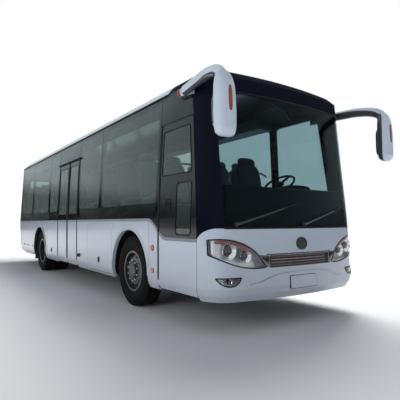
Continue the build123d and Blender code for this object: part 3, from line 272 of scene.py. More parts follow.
def hoop(centre, across, beside, wide, tall, count):
    """A round or oval ring of points about a centre."""
    angles = [2 * pi * number / count for number in range(count)]
    return [centre + across * cos(angle) * wide + beside * sin(angle) * tall for angle in angles]


def turned(profile, centre, way, segments):
    """Turn an outline of (distance along the axis, radius) about an axis through a centre."""
    axis = Vector(way).normalized()
    across = axis.orthogonal().normalized()
    beside = axis.cross(across)
    return skin([hoop(Vector(centre) + axis * along, across, beside, radius, radius, segments)
                 for along, radius in profile])


# Aluminium-flake enamel: mid grey with a metal glint, dulled in patches by brake dust.
wheel_enamel = finish("silver_wheel_enamel", "#77777a", "#524f4d", 120, (0.20, 0.40), 5, 0.1,
                      {"Metallic": 0.8})
dress(wheel_enamel, "front_rim_right", "front_rim_left", "rear_rims_right", "rear_rims_left")
# Chromium plate: mirror bright with a faint bloom.
nut_chrome = finish("chromed_nut_steel", "#d9dadb", "#b5b6b8", 30, (0.08, 0.20), 3, 0.03, {"Metallic": 1.0})
for body, node, side in wheels:
    middle = wheel_middle(node, side)
    face_y = middle.y + side * (front_face if "front" in body else twin_face)
    profile = [(along * nut_height, share * nut_across / 2) for along, share in nut_steps]
    shapes = []
    for number in range(nut_count):
        angle = 2 * pi * (number + 0.5) / nut_count
        place = (middle.x + nut_circle * cos(angle), face_y, middle.z + nut_circle * sin(angle))
        shapes.append(turned(profile, place, (0, side, 0), nut_sides))
    valve_place = (middle.x + valve_circle, face_y - side * valve_sunk, middle.z)
    shapes.append(turned(valve_steps, valve_place, (valve_lean, side, 0), valve_sides))
    piece(f"{body}_nuts", joined(shapes), nut_chrome, body)

# Wheel housings: black polyethylene half barrels over each wheel, riveted inside the walls, and rubber
# mud flaps that hang behind the rear wheels.
housing_radius = 0.612
housing_depth = {"front": 0.70, "rear": 0.72}
housing_wall = 0.005
housing_steps = 28
wall_inside = 1.204
housing_ribs = 0.003
rib_every = 4
housing_low_z = 0.56


def half_barrel(x, z, side, depth):
    """A ribbed half barrel open below, from the wall inward."""
    rings = []
    for number in range(housing_steps + 1):
        angle = pi * number / housing_steps
        inner = housing_radius + (housing_ribs if number % rib_every in (1, 2) else 0.0)
        outer = inner + housing_wall
        foot = max(sin(angle), (housing_low_z - z) / housing_radius)
        near, far = wall_inside, wall_inside - depth
        corners = ((inner, near), (inner, far), (outer, far), (outer, near))
        rings.append([(x + radius * cos(angle), side * y, z + radius * foot) for radius, y in corners])
    return skin(rings)


# Moulded polyethylene: matt black with a fine spark texture.
housing_plastic = finish("black_housing_polyethylene", "#0b0b0c", "#171614", 110, (0.70, 0.90), 4, 0.2,
                         {"Specular IOR Level": 0.2})
housings = []
for body, node, side in wheels:
    middle = wheel_middle(node, side)
    housings.append(half_barrel(middle.x, middle.z, side, housing_depth[body.split("_")[0]]))
piece("wheel_housings", joined(housings), housing_plastic, "coach")

flap_half = 0.30
flap_x = -3.285
flap_y = 0.90
flap_heights = (0.62, 0.50, 0.38, 0.26)
flap_bow = (0.0, 0.004, 0.012, 0.026)
flap_thick = 0.008
mud_flaps = []
for side in (-1, 1):
    rings = []
    for z, back in zip(flap_heights, flap_bow):
        rings.append([(flap_x - back + dx, side * flap_y + dy, z) for dx, dy in (
            (0, -flap_half), (0, flap_half), (-flap_thick, flap_half), (-flap_thick, -flap_half))])
    mud_flaps.append(skin(rings))
piece("mud_flaps", joined(mud_flaps), bellows_rubber, "coach")

# Body panels: pressed steel and glass-fibre skins in white two-pack enamel under clear coat.
# The inside is lined in grey, and spray dirt gathers along the skirt.
belt_line = 1.274
dip_start, dip_end = 3.47, 3.95
dip_line = 1.031
rear_band_edge = (0.95, 1.17)
rear_band_foot = (1.57, belt_line)
rear_band_head = (2.62, 2.90)
no_head = (9.0, 9.0)
skirt_clean_z, skirt_low_z = 0.75, 0.36
skirt_dirt = 0.5
grime_size = 220
saloon_middle = (0.0, 0.0, 1.9)
lining_turn = -0.02


def coach_white(name, band):
    """White enamel, grey inside. A side band is black above the belt, a rear band round the window."""
    made = finish(name, "#c3cedb", "#bcc7d5", 1500, (0.16, 0.24), 16, 0.02,
                  {"Coat Weight": 0.3, "Coat Roughness": 0.06, "Specular IOR Level": 0.35})
    tree = made.node_tree
    shader = tree.nodes["Principled BSDF"]
    paint = shader.inputs["Base Color"].links[0].from_socket
    coords = add(tree, "ShaderNodeTexCoord", {})
    where = coords.outputs["Object"]
    place = add(tree, "ShaderNodeSeparateXYZ", {0: where})
    grime = add(tree, "ShaderNodeTexNoise", {"Vector": where, "Scale": per_metre(grime_size), "Detail": 8.0})
    skirt = add(tree, "ShaderNodeMapRange", {"Value": place.outputs["Z"], "From Min": skirt_clean_z,
                                             "From Max": skirt_low_z, "To Max": skirt_dirt})
    dirt = add(tree, "ShaderNodeMath", {0: skirt.outputs[0], 1: grime.outputs["Fac"]}, operation="MULTIPLY")
    layers = [(dirt, "#8f8a83")]
    if band:
        if band == "side":
            edge = place.outputs["X"]
            spans = [(dip_start, dip_end, belt_line, dip_line), (dip_start, dip_end, *no_head)]
        else:
            edge = add(tree, "ShaderNodeMath", {0: place.outputs["Y"]}, operation="ABSOLUTE").outputs[0]
            spans = [(*rear_band_edge, *rear_band_foot), (*rear_band_edge, *rear_band_head)]
        limits = [add(tree, "ShaderNodeMapRange", {"Value": edge, 1: start, 2: end, 3: first, 4: last},
                      interpolation_type="SMOOTHSTEP").outputs[0] for start, end, first, last in spans]
        above = add(tree, "ShaderNodeMath", {0: place.outputs["Z"], 1: limits[0]}, operation="GREATER_THAN")
        below = add(tree, "ShaderNodeMath", {0: place.outputs["Z"], 1: limits[1]}, operation="LESS_THAN")
        black = add(tree, "ShaderNodeMath", {0: above.outputs[0], 1: below.outputs[0]}, operation="MULTIPLY")
        layers.append((black, "#08090b"))
    middle = add(tree, "ShaderNodeVectorMath", {0: where, 1: saloon_middle}, operation="SUBTRACT")
    facing = add(tree, "ShaderNodeVectorMath", {0: coords.outputs["Normal"], 1: middle.outputs[0]},
                 operation="DOT_PRODUCT")
    inside = add(tree, "ShaderNodeMath", {0: facing.outputs["Value"], 1: lining_turn}, operation="LESS_THAN")
    layers.append((inside, "#3f4247"))
    for share, code in layers:
        paint = add(tree, "ShaderNodeMix", {0: share.outputs[0], 6: paint, 7: linear(code)},
                    data_type="RGBA").outputs[2]
    tree.links.new(paint, shader.inputs["Base Color"])
    return made


# Two-pack enamel: cool white, glossy, with a trace of orange peel.
white_enamel = coach_white("white_two_pack_enamel", None)
dress(white_enamel, "roof", "front_panel", "front_bumper", "rear_bumper", "roof_cooler", "engine_hatch")
# The same enamel with the black window band masked and sprayed on the sides.
banded_enamel = coach_white("white_enamel_with_black_band", "side")
dress(banded_enamel, "right_lower_wall", "left_lower_wall", "front_door", "mid_door_front", "mid_door_rear",
      "flap_right_front", "flap_right_rear", "flap_left_front", "flap_left_rear")
# The same enamel with a black surround sprayed about the rear window.
rear_enamel = coach_white("white_enamel_with_rear_band", "rear")
dress(rear_enamel, "rear_wall")

# Window band: painted steel pillars and rails behind the glass, welded into frames. The header and the dome
# over the windscreen are one glass-fibre moulding in deep blue-black.
# Frame enamel: black and smooth, with little shine behind the glass.
pillar_black = finish("black_frame_enamel", "#08090b", "#0f1013", 300, (0.20, 0.32), 8, 0.03,
                      {"Specular IOR Level": 0.15})
dress(pillar_black, "right_window_frame", "left_window_frame")
# Pigmented gelcoat: blue-black with a faint clear gloss.
dome_gloss = finish("blue_black_dome_gelcoat", "#0e111b", "#131725", 900, (0.22, 0.30), 14, 0.02,
                    {"Specular IOR Level": 0.0, "Coat Weight": 0.07, "Coat Roughness": 0.06})
dress(dome_gloss, "windscreen_frame")

# Glass: float glass panes bonded to the frames. The side panes are toughened and grey-green, and the
# laminated windscreen has a pale blue cast.
wave_size = 700
wave_depth = 0.002
wave_strength = 0.4


def pane_glass(name, colour, bend):
    """Tinted clear glass with the faint waviness of toughened panes."""
    made, tree, shader, where = blank(name)
    wave = add(tree, "ShaderNodeTexNoise", {"Vector": where, "Scale": per_metre(wave_size), "Detail": 1.0})
    bump = add(tree, "ShaderNodeBump",
               {"Height": wave.outputs["Fac"], "Distance": wave_depth, "Strength": wave_strength})
    tree.links.new(bump.outputs["Normal"], shader.inputs["Normal"])
    shader.inputs["Base Color"].default_value = linear(colour)
    shader.inputs["Roughness"].default_value = 0.0
    shader.inputs["IOR"].default_value = bend
    shader.inputs["Transmission Weight"].default_value = 1.0
    return made


# Body-tinted float glass: grey-green, darker where two panes line up.
side_glass = pane_glass("grey_green_float_glass", "#b5c6c2", 1.40)
dress(side_glass, "right_side_glass", "left_side_glass", "rear_window", "front_door_glass",
      "mid_door_front_glass", "mid_door_rear_glass")
# Laminated screen: a cool cast from its interlayer.
screen_glass = pane_glass("laminated_windscreen_glass", "#aac4d0", 1.12)
dress(screen_glass, "windscreen")

# Belt stripe: grey vinyl film along the foot of the window band, sweeping down below the front door's
# glass. It is stuck on the paint, and each door leaf carries its own length.
side_y = 1.25
stripe_width = 0.040
stripe_proud = 0.0012
stripe_gap = 0.010
sweep_steps = 18
edge_lip = 0.12
edge_height = 0.6
edge_root = 0.001


def ribbon(stations, proud):
    """A strip with softened edges; a station is (one edge, other edge, outward)."""
    rings = []
    for near, far, out in stations:
        near, far, out = Vector(near), Vector(far), Vector(out)
        lip = (far - near) * edge_lip
        rings.append([near - out * edge_root, near + out * proud * edge_height, near + lip + out * proud,
                      far - lip + out * proud, far + out * proud * edge_height, far - out * edge_root])
    return skin(rings)


def stripe_height(x):
    """Height of the stripe's middle, and its slope."""
    sweep = dip_end - dip_start
    share = min(1.0, max(0.0, (x - dip_start) / sweep))
    drop = dip_line - belt_line
    return belt_line + drop * share**2 * (3 - 2 * share), drop * 6 * share * (1 - share) / sweep


def stripe(x0, x1, side):
    """The stripe between two places along one side."""
    sweep = [dip_start + (dip_end - dip_start) * n / sweep_steps for n in range(sweep_steps + 1)]
    stations = []
    for x in sorted(place for place in [x0, *sweep, x1] if x0 <= place <= x1):
        z, slope = stripe_height(x)
        span = stripe_width / 2 / hypot(1.0, slope)
        low = (x + slope * span, side * side_y, z - span)
        high = (x - slope * span, side * side_y, z + span)
        stations.append((low, high, (0, side, 0)))
    return ribbon(stations, stripe_proud)


def leaf_span(name):
    """Rear and front ends of a door leaf."""
    low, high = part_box(name)
    return low.x, high.x


rear_seam_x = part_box("right_lower_wall")[0].x
front_seam_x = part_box("left_lower_wall")[1].x
wall_front_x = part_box("right_lower_wall")[1].x
mid_rear_x = leaf_span("mid_door_rear")[0]
mid_front_x = leaf_span("mid_door_front")[1]
# Cast vinyl film: even mid grey with a satin face.
stripe_vinyl = finish("grey_stripe_vinyl", "#80868c", "#888e94", 400, (0.35, 0.45), 10, 0.02, {})
coach_stripes = [
    stripe(rear_seam_x, mid_rear_x - stripe_gap, -1),
    stripe(mid_front_x + stripe_gap, wall_front_x, -1),
    stripe(rear_seam_x, front_seam_x, 1),
]
piece("belt_stripe", joined(coach_stripes), stripe_vinyl, "coach")
for name in ("mid_door_rear", "mid_door_front", "front_door"):
    piece(f"{name}_stripe", stripe(*leaf_span(name), -1), stripe_vinyl, name)

# Weather strips: extruded black rubber, bonded on. A drip rail runs along each roof edge, a gutter hangs
# over the mid door, beads close the door edges, and round seals hold the door panes and the windscreen.
trees = {}
outside = 3.0


def cast(name, start, way):
    """Where a line first meets a CAD piece, and the surface's outward normal there."""
    if name not in trees:
        mesh = nodes[name].data
        trees[name] = BVHTree.FromPolygons([v.co for v in mesh.vertices], [p.vertices for p in mesh.polygons])
    place, normal, _, _ = trees[name].ray_cast(Vector(start), Vector(way))
    if place is None:
        raise ValueError(f"{name} is not met from {tuple(start)}")
    return place, normal if normal.dot(Vector(way)) < 0 else -normal


def on_side(name, x, z, side):
    """Place and normal on a side piece, met from beside the coach."""
    return cast(name, (x, side * outside, z), (0, -side, 0))


def level_strip(ends, y, heights, side, proud):
    """A straight strip along a side, between two heights."""
    low_z, high_z = heights
    return ribbon([((x, y, low_z), (x, y, high_z), (0, side, 0)) for x in ends], proud)


drip_heights = (2.868, 2.892)
drip_proud = 0.012
drip_ends = (rear_seam_x + 0.002, 3.86)
drip_cast_x = 2.0
gutter_heights = (2.498, 2.530)
gutter_over = 0.045
gutter_proud = 0.030
gutter_cast_x = 0.1
# Extruded rubber: black, satin, a little dusty.
strip_rubber = finish("extruded_strip_rubber", "#0d0d0e", "#1a1a1a", 50, (0.5, 0.7), 4, 0.1,
                      {"Specular IOR Level": 0.25})
strips = []
for pane, side in (("right_side_glass", -1), ("left_side_glass", 1)):
    face, _ = on_side(pane, drip_cast_x, drip_heights[0], side)
    strips.append(level_strip(drip_ends, face.y, drip_heights, side, drip_proud))
face, _ = on_side("right_side_glass", gutter_cast_x, gutter_heights[1], -1)
gutter_ends = (mid_rear_x - gutter_over, mid_front_x + gutter_over)
strips.append(level_strip(gutter_ends, face.y, gutter_heights, -1, gutter_proud))
piece("weather_strips", joined(strips), strip_rubber, "coach")

door_bead_half = 0.016
door_bead_proud = 0.006
bead_from_edge = door_bead_half + 0.001
bead_from_end = 0.004
upright_steps = 16


def upright(name, x, low_z, high_z, side, half, proud):
    """A strip up a side piece, laid on its curved face."""
    reach = Vector((half, 0, 0))
    stations = []
    for number in range(upright_steps + 1):
        z = low_z + (high_z - low_z) * number / upright_steps
        face, normal = on_side(name, x, z, side)
        stations.append((face - reach, face + reach, normal))
    return ribbon(stations, proud)


def door_bead(name, x):
    """A rubber bead down a door leaf."""
    low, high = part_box(name)
    low_z, high_z = low.z + bead_from_end, high.z - bead_from_end
    return upright(name, x, low_z, high_z, -1, door_bead_half, door_bead_proud)


for name in ("mid_door_rear", "mid_door_front"):
    rear, front = leaf_span(name)
    beads = [door_bead(name, x) for x in (rear + bead_from_edge, front - bead_from_edge)]
    piece(f"{name}_beads", joined(beads), strip_rubber, name)
front_bead = door_bead("front_door", leaf_span("front_door")[0] + bead_from_edge)
piece("front_door_bead", front_bead, strip_rubber, "front_door")

weld_gap = 1e-5
outward_least = 0.35
end_on = 0.99


def welded(name):
    """A CAD piece's mesh as a bmesh of its own."""
    copy = bmesh.new()
    copy.from_mesh(nodes[name].data)
    bmesh.ops.remove_doubles(copy, verts=copy.verts, dist=weld_gap)
    return copy


def looks_out(face, toward):
    """Whether a face looks outward; toward gives that way at a point."""
    return face.normal.dot(toward(face.calc_center_median())) >= outward_least


def outer_skin(name, toward):
    """The faces of a CAD piece that look outward, as a bmesh of their own."""
    copy = welded(name)
    hidden = [face for face in copy.faces if not looks_out(face, toward)]
    bmesh.ops.delete(copy, geom=hidden, context="FACES")
    return copy


def rim_loops(copy):
    """The open edges of a bmesh, as loops of points."""
    edges = dict.fromkeys(edge for edge in copy.edges if edge.is_boundary)
    loops = []
    while edges:
        edge, _ = edges.popitem()
        start, here = edge.verts
        loop = [start.co.copy()]
        while here is not start:
            loop.append(here.co.copy())
            edge = next(e for e in here.link_edges if e in edges)
            del edges[edge]
            here = edge.other_vert(here)
        loops.append(loop)
    return loops


def seal(loop, radius, sides=6):
    """A rubber tube round a closed loop of points."""
    rings = []
    for number, point in enumerate(loop):
        along = (loop[(number + 1) % len(loop)] - loop[number - 1]).normalized()
        beside_x = along.cross(Vector((1, 0, 0)))
        across = along.orthogonal().normalized() if abs(along.x) > end_on else beside_x.normalized()
        rings.append(hoop(point, across, along.cross(across), radius, radius, sides))
    return skin(rings, loop=True)


def rim_seals(copy, radius):
    """Seals round every open rim of a bmesh."""
    return joined([seal(loop, radius) for loop in rim_loops(copy)])


seal_radius = 0.008
screen_corner_y = 0.8
screen_turn = 0.4


def screen_way(point):
    """Outward at the windscreen: forward, and to the side round its corners."""
    return Vector((1, screen_turn * ((point.y > screen_corner_y) - (point.y < -screen_corner_y)), 0))


for name in ("front_door", "mid_door_front", "mid_door_rear"):
    pane = outer_skin(f"{name}_glass", lambda point: Vector((0, -1, 0)))
    piece(f"{name}_seals", rim_seals(pane, seal_radius), strip_rubber, name)
    pane.free()
screen = outer_skin("windscreen", screen_way)
piece("windscreen_seal", rim_seals(screen, seal_radius), strip_rubber, "coach")
screen.free()

# Panel seams: the narrow gaps between the walls' steel skins, a few millimetres wide. The shade inside
# each gap is painted: thin nearly black strips are laid on the skins along the seam lines.
seam_half = 0.003
seam_proud = 0.0006
seam_from_edge = seam_half + 0.001
arch_seam_x = 3.500
arch_seam_foot = 0.005
arch_seam_top_z = 1.245
rear_seam_z = (0.56, 1.255)
front_seam_z = (0.365, 1.01)
# Painted shade: dull and nearly black, so each strip reads as a shaded gap.
painted_gap_shade = finish("painted_gap_shade_film", "#1a1b1d", "#242527", 60, (0.6, 0.8), 4, 0.05,
                   {"Specular IOR Level": 0.2})
walls = (("right_lower_wall", -1), ("left_lower_wall", 1))
seam_lines = [("left_lower_wall", 1, front_seam_x - seam_from_edge, *front_seam_z)]
for name, side in walls:
    seam_lines.append((name, side, arch_seam_x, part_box(name)[0].z + arch_seam_foot, arch_seam_top_z))
    seam_lines.append((name, side, rear_seam_x + seam_from_edge, *rear_seam_z))
# The seam lines are real; their darkness is painted shade.
seams = [upright(name, x, low_z, high_z, side, seam_half, seam_proud)
         for name, side, x, low_z, high_z in seam_lines]
piece("panel_seams", joined(seams), painted_gap_shade, "coach")

# Door handle: a moulded black cup let into the front door's skin, with a flat pull bar across it.
# It is screwed to the leaf from inside.


def lobe(turn, power):
    """Across and up on a unit superellipse: a circle at power 2, nearly a square at a high one."""
    return [abs(part) ** (2 / power) * (1 if part >= 0 else -1) for part in (cos(turn), sin(turn))]


def pad(spot, form, count=28, up=(0, 0, 1), sunk=0.0):
    """A rounded plate at a spot on a surface, by its form: (half width, half height, outline's power, steps).

    Each step is (height over the surface, share of the outline).
    """
    face, out = spot
    half_wide, half_tall, power, steps = form
    up = (Vector(up) - out * out.dot(Vector(up))).normalized()
    across = up.cross(out)
    rings = []
    for height, share in steps:
        middle = face + out * (height - sunk)
        ring = []
        for number in range(count):
            wide, tall = lobe(2 * pi * number / count, power)
            ring.append(middle + across * wide * half_wide * share + up * tall * half_tall * share)
        rings.append(ring)
    return skin(rings)


handle_x, handle_z = 4.007, 1.47
cup_steps = [(-0.001, 1.0), (0.004, 1.0), (0.006, 0.96), (0.006, 0.86), (0.001, 0.80), (-0.004, 0.5),
             (-0.004, 0.1)]
cup_form = (0.068, 0.068, 2.0, cup_steps)
grip_form = (0.050, 0.016, 3.0, [(-0.004, 1.0), (0.005, 1.0), (0.008, 0.9), (0.008, 0.3)])
spot = on_side("front_door", handle_x, handle_z, -1)
handle = joined([pad(spot, form) for form in (cup_form, grip_form)])
piece("front_door_handle", handle, pillar_black, "front_door")

# Side fittings: flap locks in black zinc with a red turn-piece, amber marker lamps and reflectors,
# the door's emergency valve and the heater's small vents, all riveted or screwed to the skins.
lock_z = 0.602
lock_steps = [(-0.001, 1.0), (0.006, 1.0), (0.010, 0.92), (0.010, 0.70), (0.004, 0.62), (0.004, 0.1)]
lock_form = (0.034, 0.050, 3.2, lock_steps)
turn_form = (0.012, 0.016, 2.4, [(0.003, 1.0), (0.010, 1.0), (0.012, 0.8), (0.012, 0.2)])
one_lock_length = 1.5
lock_from_end = 0.45
# Die-cast zinc in black enamel: satin, with soft glints on its rims.
lock_enamel = finish("black_lock_enamel", "#101012", "#1c1c1e", 30, (0.3, 0.5), 3, 0.05, {})
# Moulded nylon: dull dark red.
lock_red = finish("red_lock_nylon", "#7a1a17", "#651412", 10, (0.4, 0.55), 2, 0.05, {})
for name in ("flap_right_front", "flap_right_rear", "flap_left_front", "flap_left_rear"):
    low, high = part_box(name)
    side = -1 if "right" in name else 1
    places = [low.x + lock_from_end, high.x - lock_from_end]
    if high.x - low.x < one_lock_length:
        places = [(low.x + high.x) / 2]
    spots = [on_side(name, x, lock_z, side) for x in places]
    cups = joined([pad(spot, lock_form) for spot in spots])
    turns = joined([pad(spot, turn_form) for spot in spots])
    piece(f"{name}_locks", cups, lock_enamel, name)
    piece(f"{name}_turns", turns, lock_red, name)

dome_steps = [(-0.001, 1.0), (0.006, 1.0), (0.012, 0.90), (0.017, 0.65), (0.019, 0.30), (0.0195, 0.05)]
flat_steps = [(-0.001, 1.0), (0.007, 1.0), (0.010, 0.94), (0.0105, 0.5)]
side_lenses = [
    # place along, height, half width, half height, power of the outline, steps
    (3.600, 0.900, 0.040, 0.036, 2.2, dome_steps),
    (3.600, 0.600, 0.036, 0.026, 5.0, flat_steps),
    (-3.870, 0.600, 0.022, 0.022, 4.0, flat_steps),
]
lens_base_share = 1.15
lens_base_steps = [(-0.001, 1.0), (0.003, 1.0), (0.004, 0.9)]
vent_places = (-4.450, -4.100, -3.420)
vent_z = 0.61
vent_form = (0.020, 0.024, 3.0, lock_steps)
tap_x, tap_z = 0.590, 0.611
tap_plate_form = (0.055, 0.034, 4.0, [(-0.001, 1.0), (0.010, 1.0), (0.014, 0.9), (0.014, 0.4)])
tap_knob_back = 0.02
tap_knob_steps = [
    # distance out, radius
    (0.0, 0.014), (0.020, 0.014), (0.022, 0.026), (0.036, 0.028), (0.042, 0.020),
]
# Acrylic lenses: clear amber with a moulded prism grain.
amber_acrylic = finish("amber_lamp_acrylic", "#d2510c", "#e0701d", 12, (0.08, 0.16), 5, 0.5,
                       {"Coat Weight": 0.4})
lenses, fittings = [], []
for name, side in walls:
    for x, z, wide, tall, power, steps in side_lenses:
        spot = on_side(name, x, z, side)
        fittings.append(pad(spot, (wide * lens_base_share, tall * lens_base_share, power, lens_base_steps)))
        lenses.append(pad(spot, (wide, tall, power, steps)))
    fittings += [pad(on_side(name, x, vent_z, side), vent_form) for x in vent_places]
face, normal = on_side("right_lower_wall", tap_x, tap_z, -1)
fittings.append(pad((face, normal), tap_plate_form))
fittings.append(turned(tap_knob_steps, face - Vector((tap_knob_back, 0, 0)), normal, segments=20))
piece("side_lamps", joined(lenses), amber_acrylic, "coach")
piece("side_fittings", joined(fittings), lock_enamel, "coach")

# Arch lips: steel flanges rolled round the wheel openings and painted with the body.
# They stiffen the cut edge and stand a little proud of it.
lip_profile = [
    # distance out from the arch's edge, height over the wall
    (0.000, -0.030), (0.000, 0.008), (0.004, 0.012), (0.030, 0.013), (0.042, 0.007), (0.050, -0.001),
]
arch_lift = 0.002
arch_steps = 44
lips = []
for body, node, side in wheels:
    middle = wheel_middle(node, side)
    rings = []
    for number in range(arch_steps + 1):
        angle = pi * number / arch_steps
        ring = []
        for out, height in lip_profile:
            x = middle.x + (housing_radius + out) * cos(angle)
            z = middle.z + arch_lift + (housing_radius + out) * sin(angle)
            ring.append((x, side * (side_y + height), z))
        rings.append(ring)
    lips.append(skin(rings))
piece("arch_lips", joined(lips), white_enamel, "coach")

# Headlamps: silver moulded buckets behind bonded polycarbonate lenses, each with two bowl reflectors round
# dark projectors, and a smoked turn strip along its top. The half-moon fog lamps below are made alike.
lens_thick = 0.003
bucket_depth = 0.060
bucket_gap = 0.006
gasket_radius = 0.007
corner_y = 0.9
corner_turn = 0.3
ahead = 8.0


def front_way(point):
    """Outward at the front: forward, and a little to the side round the corners."""
    turn = corner_turn * (point.y > corner_y) - corner_turn * (point.y < -corner_y)
    return Vector((1.0, turn, 0.0)).normalized()


def shape_of(copy):
    """A bmesh as a list of points and faces."""
    copy.verts.index_update()
    faces = [tuple(vert.index for vert in face.verts) for face in copy.faces]
    return [vert.co.copy() for vert in copy.verts], faces


def on_front(name, y, z):
    """Place and normal on a front piece, met from ahead."""
    return cast(name, (ahead, y, z), (-1, 0, 0))


bucket = welded("front_lamps")
faced = [face for face in bucket.faces if looks_out(face, front_way)]
rim = {vert for face in faced for vert in face.verts}
bmesh.ops.delete(bucket, geom=faced, context="FACES_ONLY")
for vert in bucket.verts:
    if vert not in rim:
        vert.co.x = max(vert.co.x - bucket_depth, front_seam_x + bucket_gap)
# Vacuum-plated plastic: silver-grey with a soft mirror.
bucket_silver = finish("aluminised_lamp_plastic", "#cfd2d6", "#aeb2b8", 40, (0.18, 0.32), 6, 0.1,
                       {"Metallic": 0.45})
piece("lamp_buckets", shape_of(bucket), bucket_silver, "coach")
bucket.free()
lens = outer_skin("front_lamps", front_way)
# A black rubber gasket lies round every lamp.
piece("lamp_gaskets", rim_seals(lens, gasket_radius), strip_rubber, "coach")
bmesh.ops.solidify(lens, geom=lens.faces[:], thickness=lens_thick)
# Hard-coated polycarbonate: water clear with a sharp highlight.
lens_clear = pane_glass("clear_lamp_polycarbonate", "#f3f5f6", 1.20)
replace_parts(piece("lamp_lenses", shape_of(lens), lens_clear, "coach"), "front_lamps")
dress(lens_clear, "front_lamps")
lens.free()

bowl_steps = [
    # depth behind the lens, share of the radius
    (-0.060, 0.05), (-0.056, 0.36), (-0.042, 0.68), (-0.020, 0.90), (-0.016, 1.0), (-0.024, 1.02),
    (-0.060, 0.74), (-0.066, 0.20),
]
projector_steps = [
    # depth behind the lens, share of the radius
    (-0.060, 0.50), (-0.034, 0.50), (-0.028, 0.46), (-0.022, 0.34), (-0.018, 0.16), (-0.017, 0.02),
]
bowls = [
    # inboard of the side, height, radius
    (0.225, 0.925, 0.094), (0.425, 0.865, 0.078), (0.206, 0.590, 0.034),
]
amber_line = [
    # inboard of the side, height of the lens's upper edge
    (0.075, 1.047), (0.150, 1.050), (0.250, 1.037), (0.350, 1.007), (0.440, 0.966), (0.500, 0.926),
]
amber_band = (0.014, 0.042)
amber_depth = 0.012
amber_proud = 0.004
# Chromed bowls: bright, with the ring marks of their tooling.
bowl_chrome = finish("chromed_reflector_bowl", "#e3e5e8", "#c4c7cb", 25, (0.05, 0.14), 4, 0.05,
                     {"Metallic": 1.0})
# Smoked acrylic: dark amber until the lamp inside it is lit.
turn_acrylic = finish("smoked_amber_acrylic", "#8f3413", "#7c2b0f", 12, (0.10, 0.20), 5, 0.4,
                      {"Coat Weight": 0.3})
# Projector glass: a dark round eye with a sharp glint.
projector_glass = finish("dark_projector_glass", "#16181b", "#202327", 20, (0.04, 0.09), 8, 0.02,
                         {"Coat Weight": 0.5})
dishes, projectors, strips = [], [], []
for side in (-1, 1):
    for inboard, z, radius in bowls:
        face, _ = on_front("front_lamps", side * (side_y - inboard), z)
        for steps, shapes in ((bowl_steps, dishes), (projector_steps, projectors)):
            profile = [(along, share * radius) for along, share in steps]
            shapes.append(turned(profile, face, (1, 0, 0), segments=28))
    stations = []
    for inboard, z in amber_line:
        edges = []
        for fall in amber_band:
            face, normal = on_front("front_lamps", side * (side_y - inboard), z - fall)
            edges.append(face - normal * amber_depth)
        stations.append((*edges, normal))
    strips.append(ribbon(stations, amber_proud))
piece("lamp_bowls", joined(dishes), bowl_chrome, "coach")
piece("lamp_projectors", joined(projectors), projector_glass, "coach")
piece("turn_strips", joined(strips), turn_acrylic, "coach")

# Nose trim: a smoked chrome grille with wings that reach the lamps and a bright upper strip, a plain badge
# disc, a blank number plate in its holder, and a crease pressed in the bumper above it.
grille_half = 0.515
grille_z = (0.724, 0.858)
grille_backing = 0.022
backing_steps = 12
backing_proud = 0.004
wing_line = [
    # across, low edge, high edge
    (0.526, 0.724, 0.860), (0.562, 0.734, 0.862), (0.600, 0.784, 0.865), (0.635, 0.832, 0.868),
    (0.662, 0.867, 0.874),
]
wing_proud = 0.004
strip_half = 0.56
strip_z = (0.864, 0.880)
strip_steps = 16
strip_proud = 0.006


def evenly(half, steps):
    """Places across the nose, evenly from one side to the other."""
    return [half * (2 * number / steps - 1) for number in range(steps + 1)]


def front_ribbon(name, line, proud):
    """A strip laid on a front piece; the line holds (across, low edge, high edge)."""
    stations = []
    for y, low_z, high_z in line:
        low, normal = on_front(name, y, low_z)
        high, _ = on_front(name, y, high_z)
        stations.append((low, high, normal))
    return ribbon(stations, proud)


# Smoked chromium: a dark mirror between the lamps.
smoked_chrome = finish("smoked_grille_chrome", "#565050", "#6a6463", 200, (0.10, 0.22), 8, 0.02,
                       {"Metallic": 1.0})
dress(smoked_chrome, "grille")
strip = front_ribbon("front_panel", [(y, *strip_z) for y in evenly(strip_half, strip_steps)], strip_proud)
piece("grille_strip", strip, nut_chrome, "coach")
stations = []
for y in evenly(grille_half, backing_steps):
    edge, normal = on_front("front_panel", y, strip_z[0])
    low, high = [Vector((edge.x - grille_backing, y, z)) for z in grille_z]
    stations.append((low, high, normal))
piece("grille_backing", ribbon(stations, backing_proud), smoked_chrome, "coach")
wings = []
for side in (-1, 1):
    line = [(side * y, low_z, high_z) for y, low_z, high_z in wing_line]
    wings.append(front_ribbon("front_panel", line, wing_proud))
piece("grille_wings", joined(wings), smoked_chrome, "coach")

badge_z = 0.985
badge_steps = [(-0.001, 1.0), (0.008, 1.0), (0.011, 0.95), (0.011, 0.86), (0.006, 0.82), (0.009, 0.5),
               (0.010, 0.1)]
badge_form = (0.0935, 0.0765, 2.0, badge_steps)
badge = pad(on_front("front_panel", 0.0, badge_z), badge_form, count=40)
piece("nose_badge", badge, lock_enamel, "coach")
plate_z = 0.537
plate_steps = [(-0.012, 1.0), (0.004, 1.0), (0.006, 0.985), (0.006, 0.955), (0.004, 0.94), (0.004, 0.2)]
plate_form = (0.225, 0.072, 14.0, plate_steps)
holder_form = (0.231, 0.078, 14.0, [(-0.012, 1.0), (0.001, 1.0), (0.002, 0.99), (0.002, 0.2)])
spot = on_front("front_bumper", 0.0, plate_z)
piece("plate_holder", pad(spot, holder_form, count=56), lock_enamel, "coach")
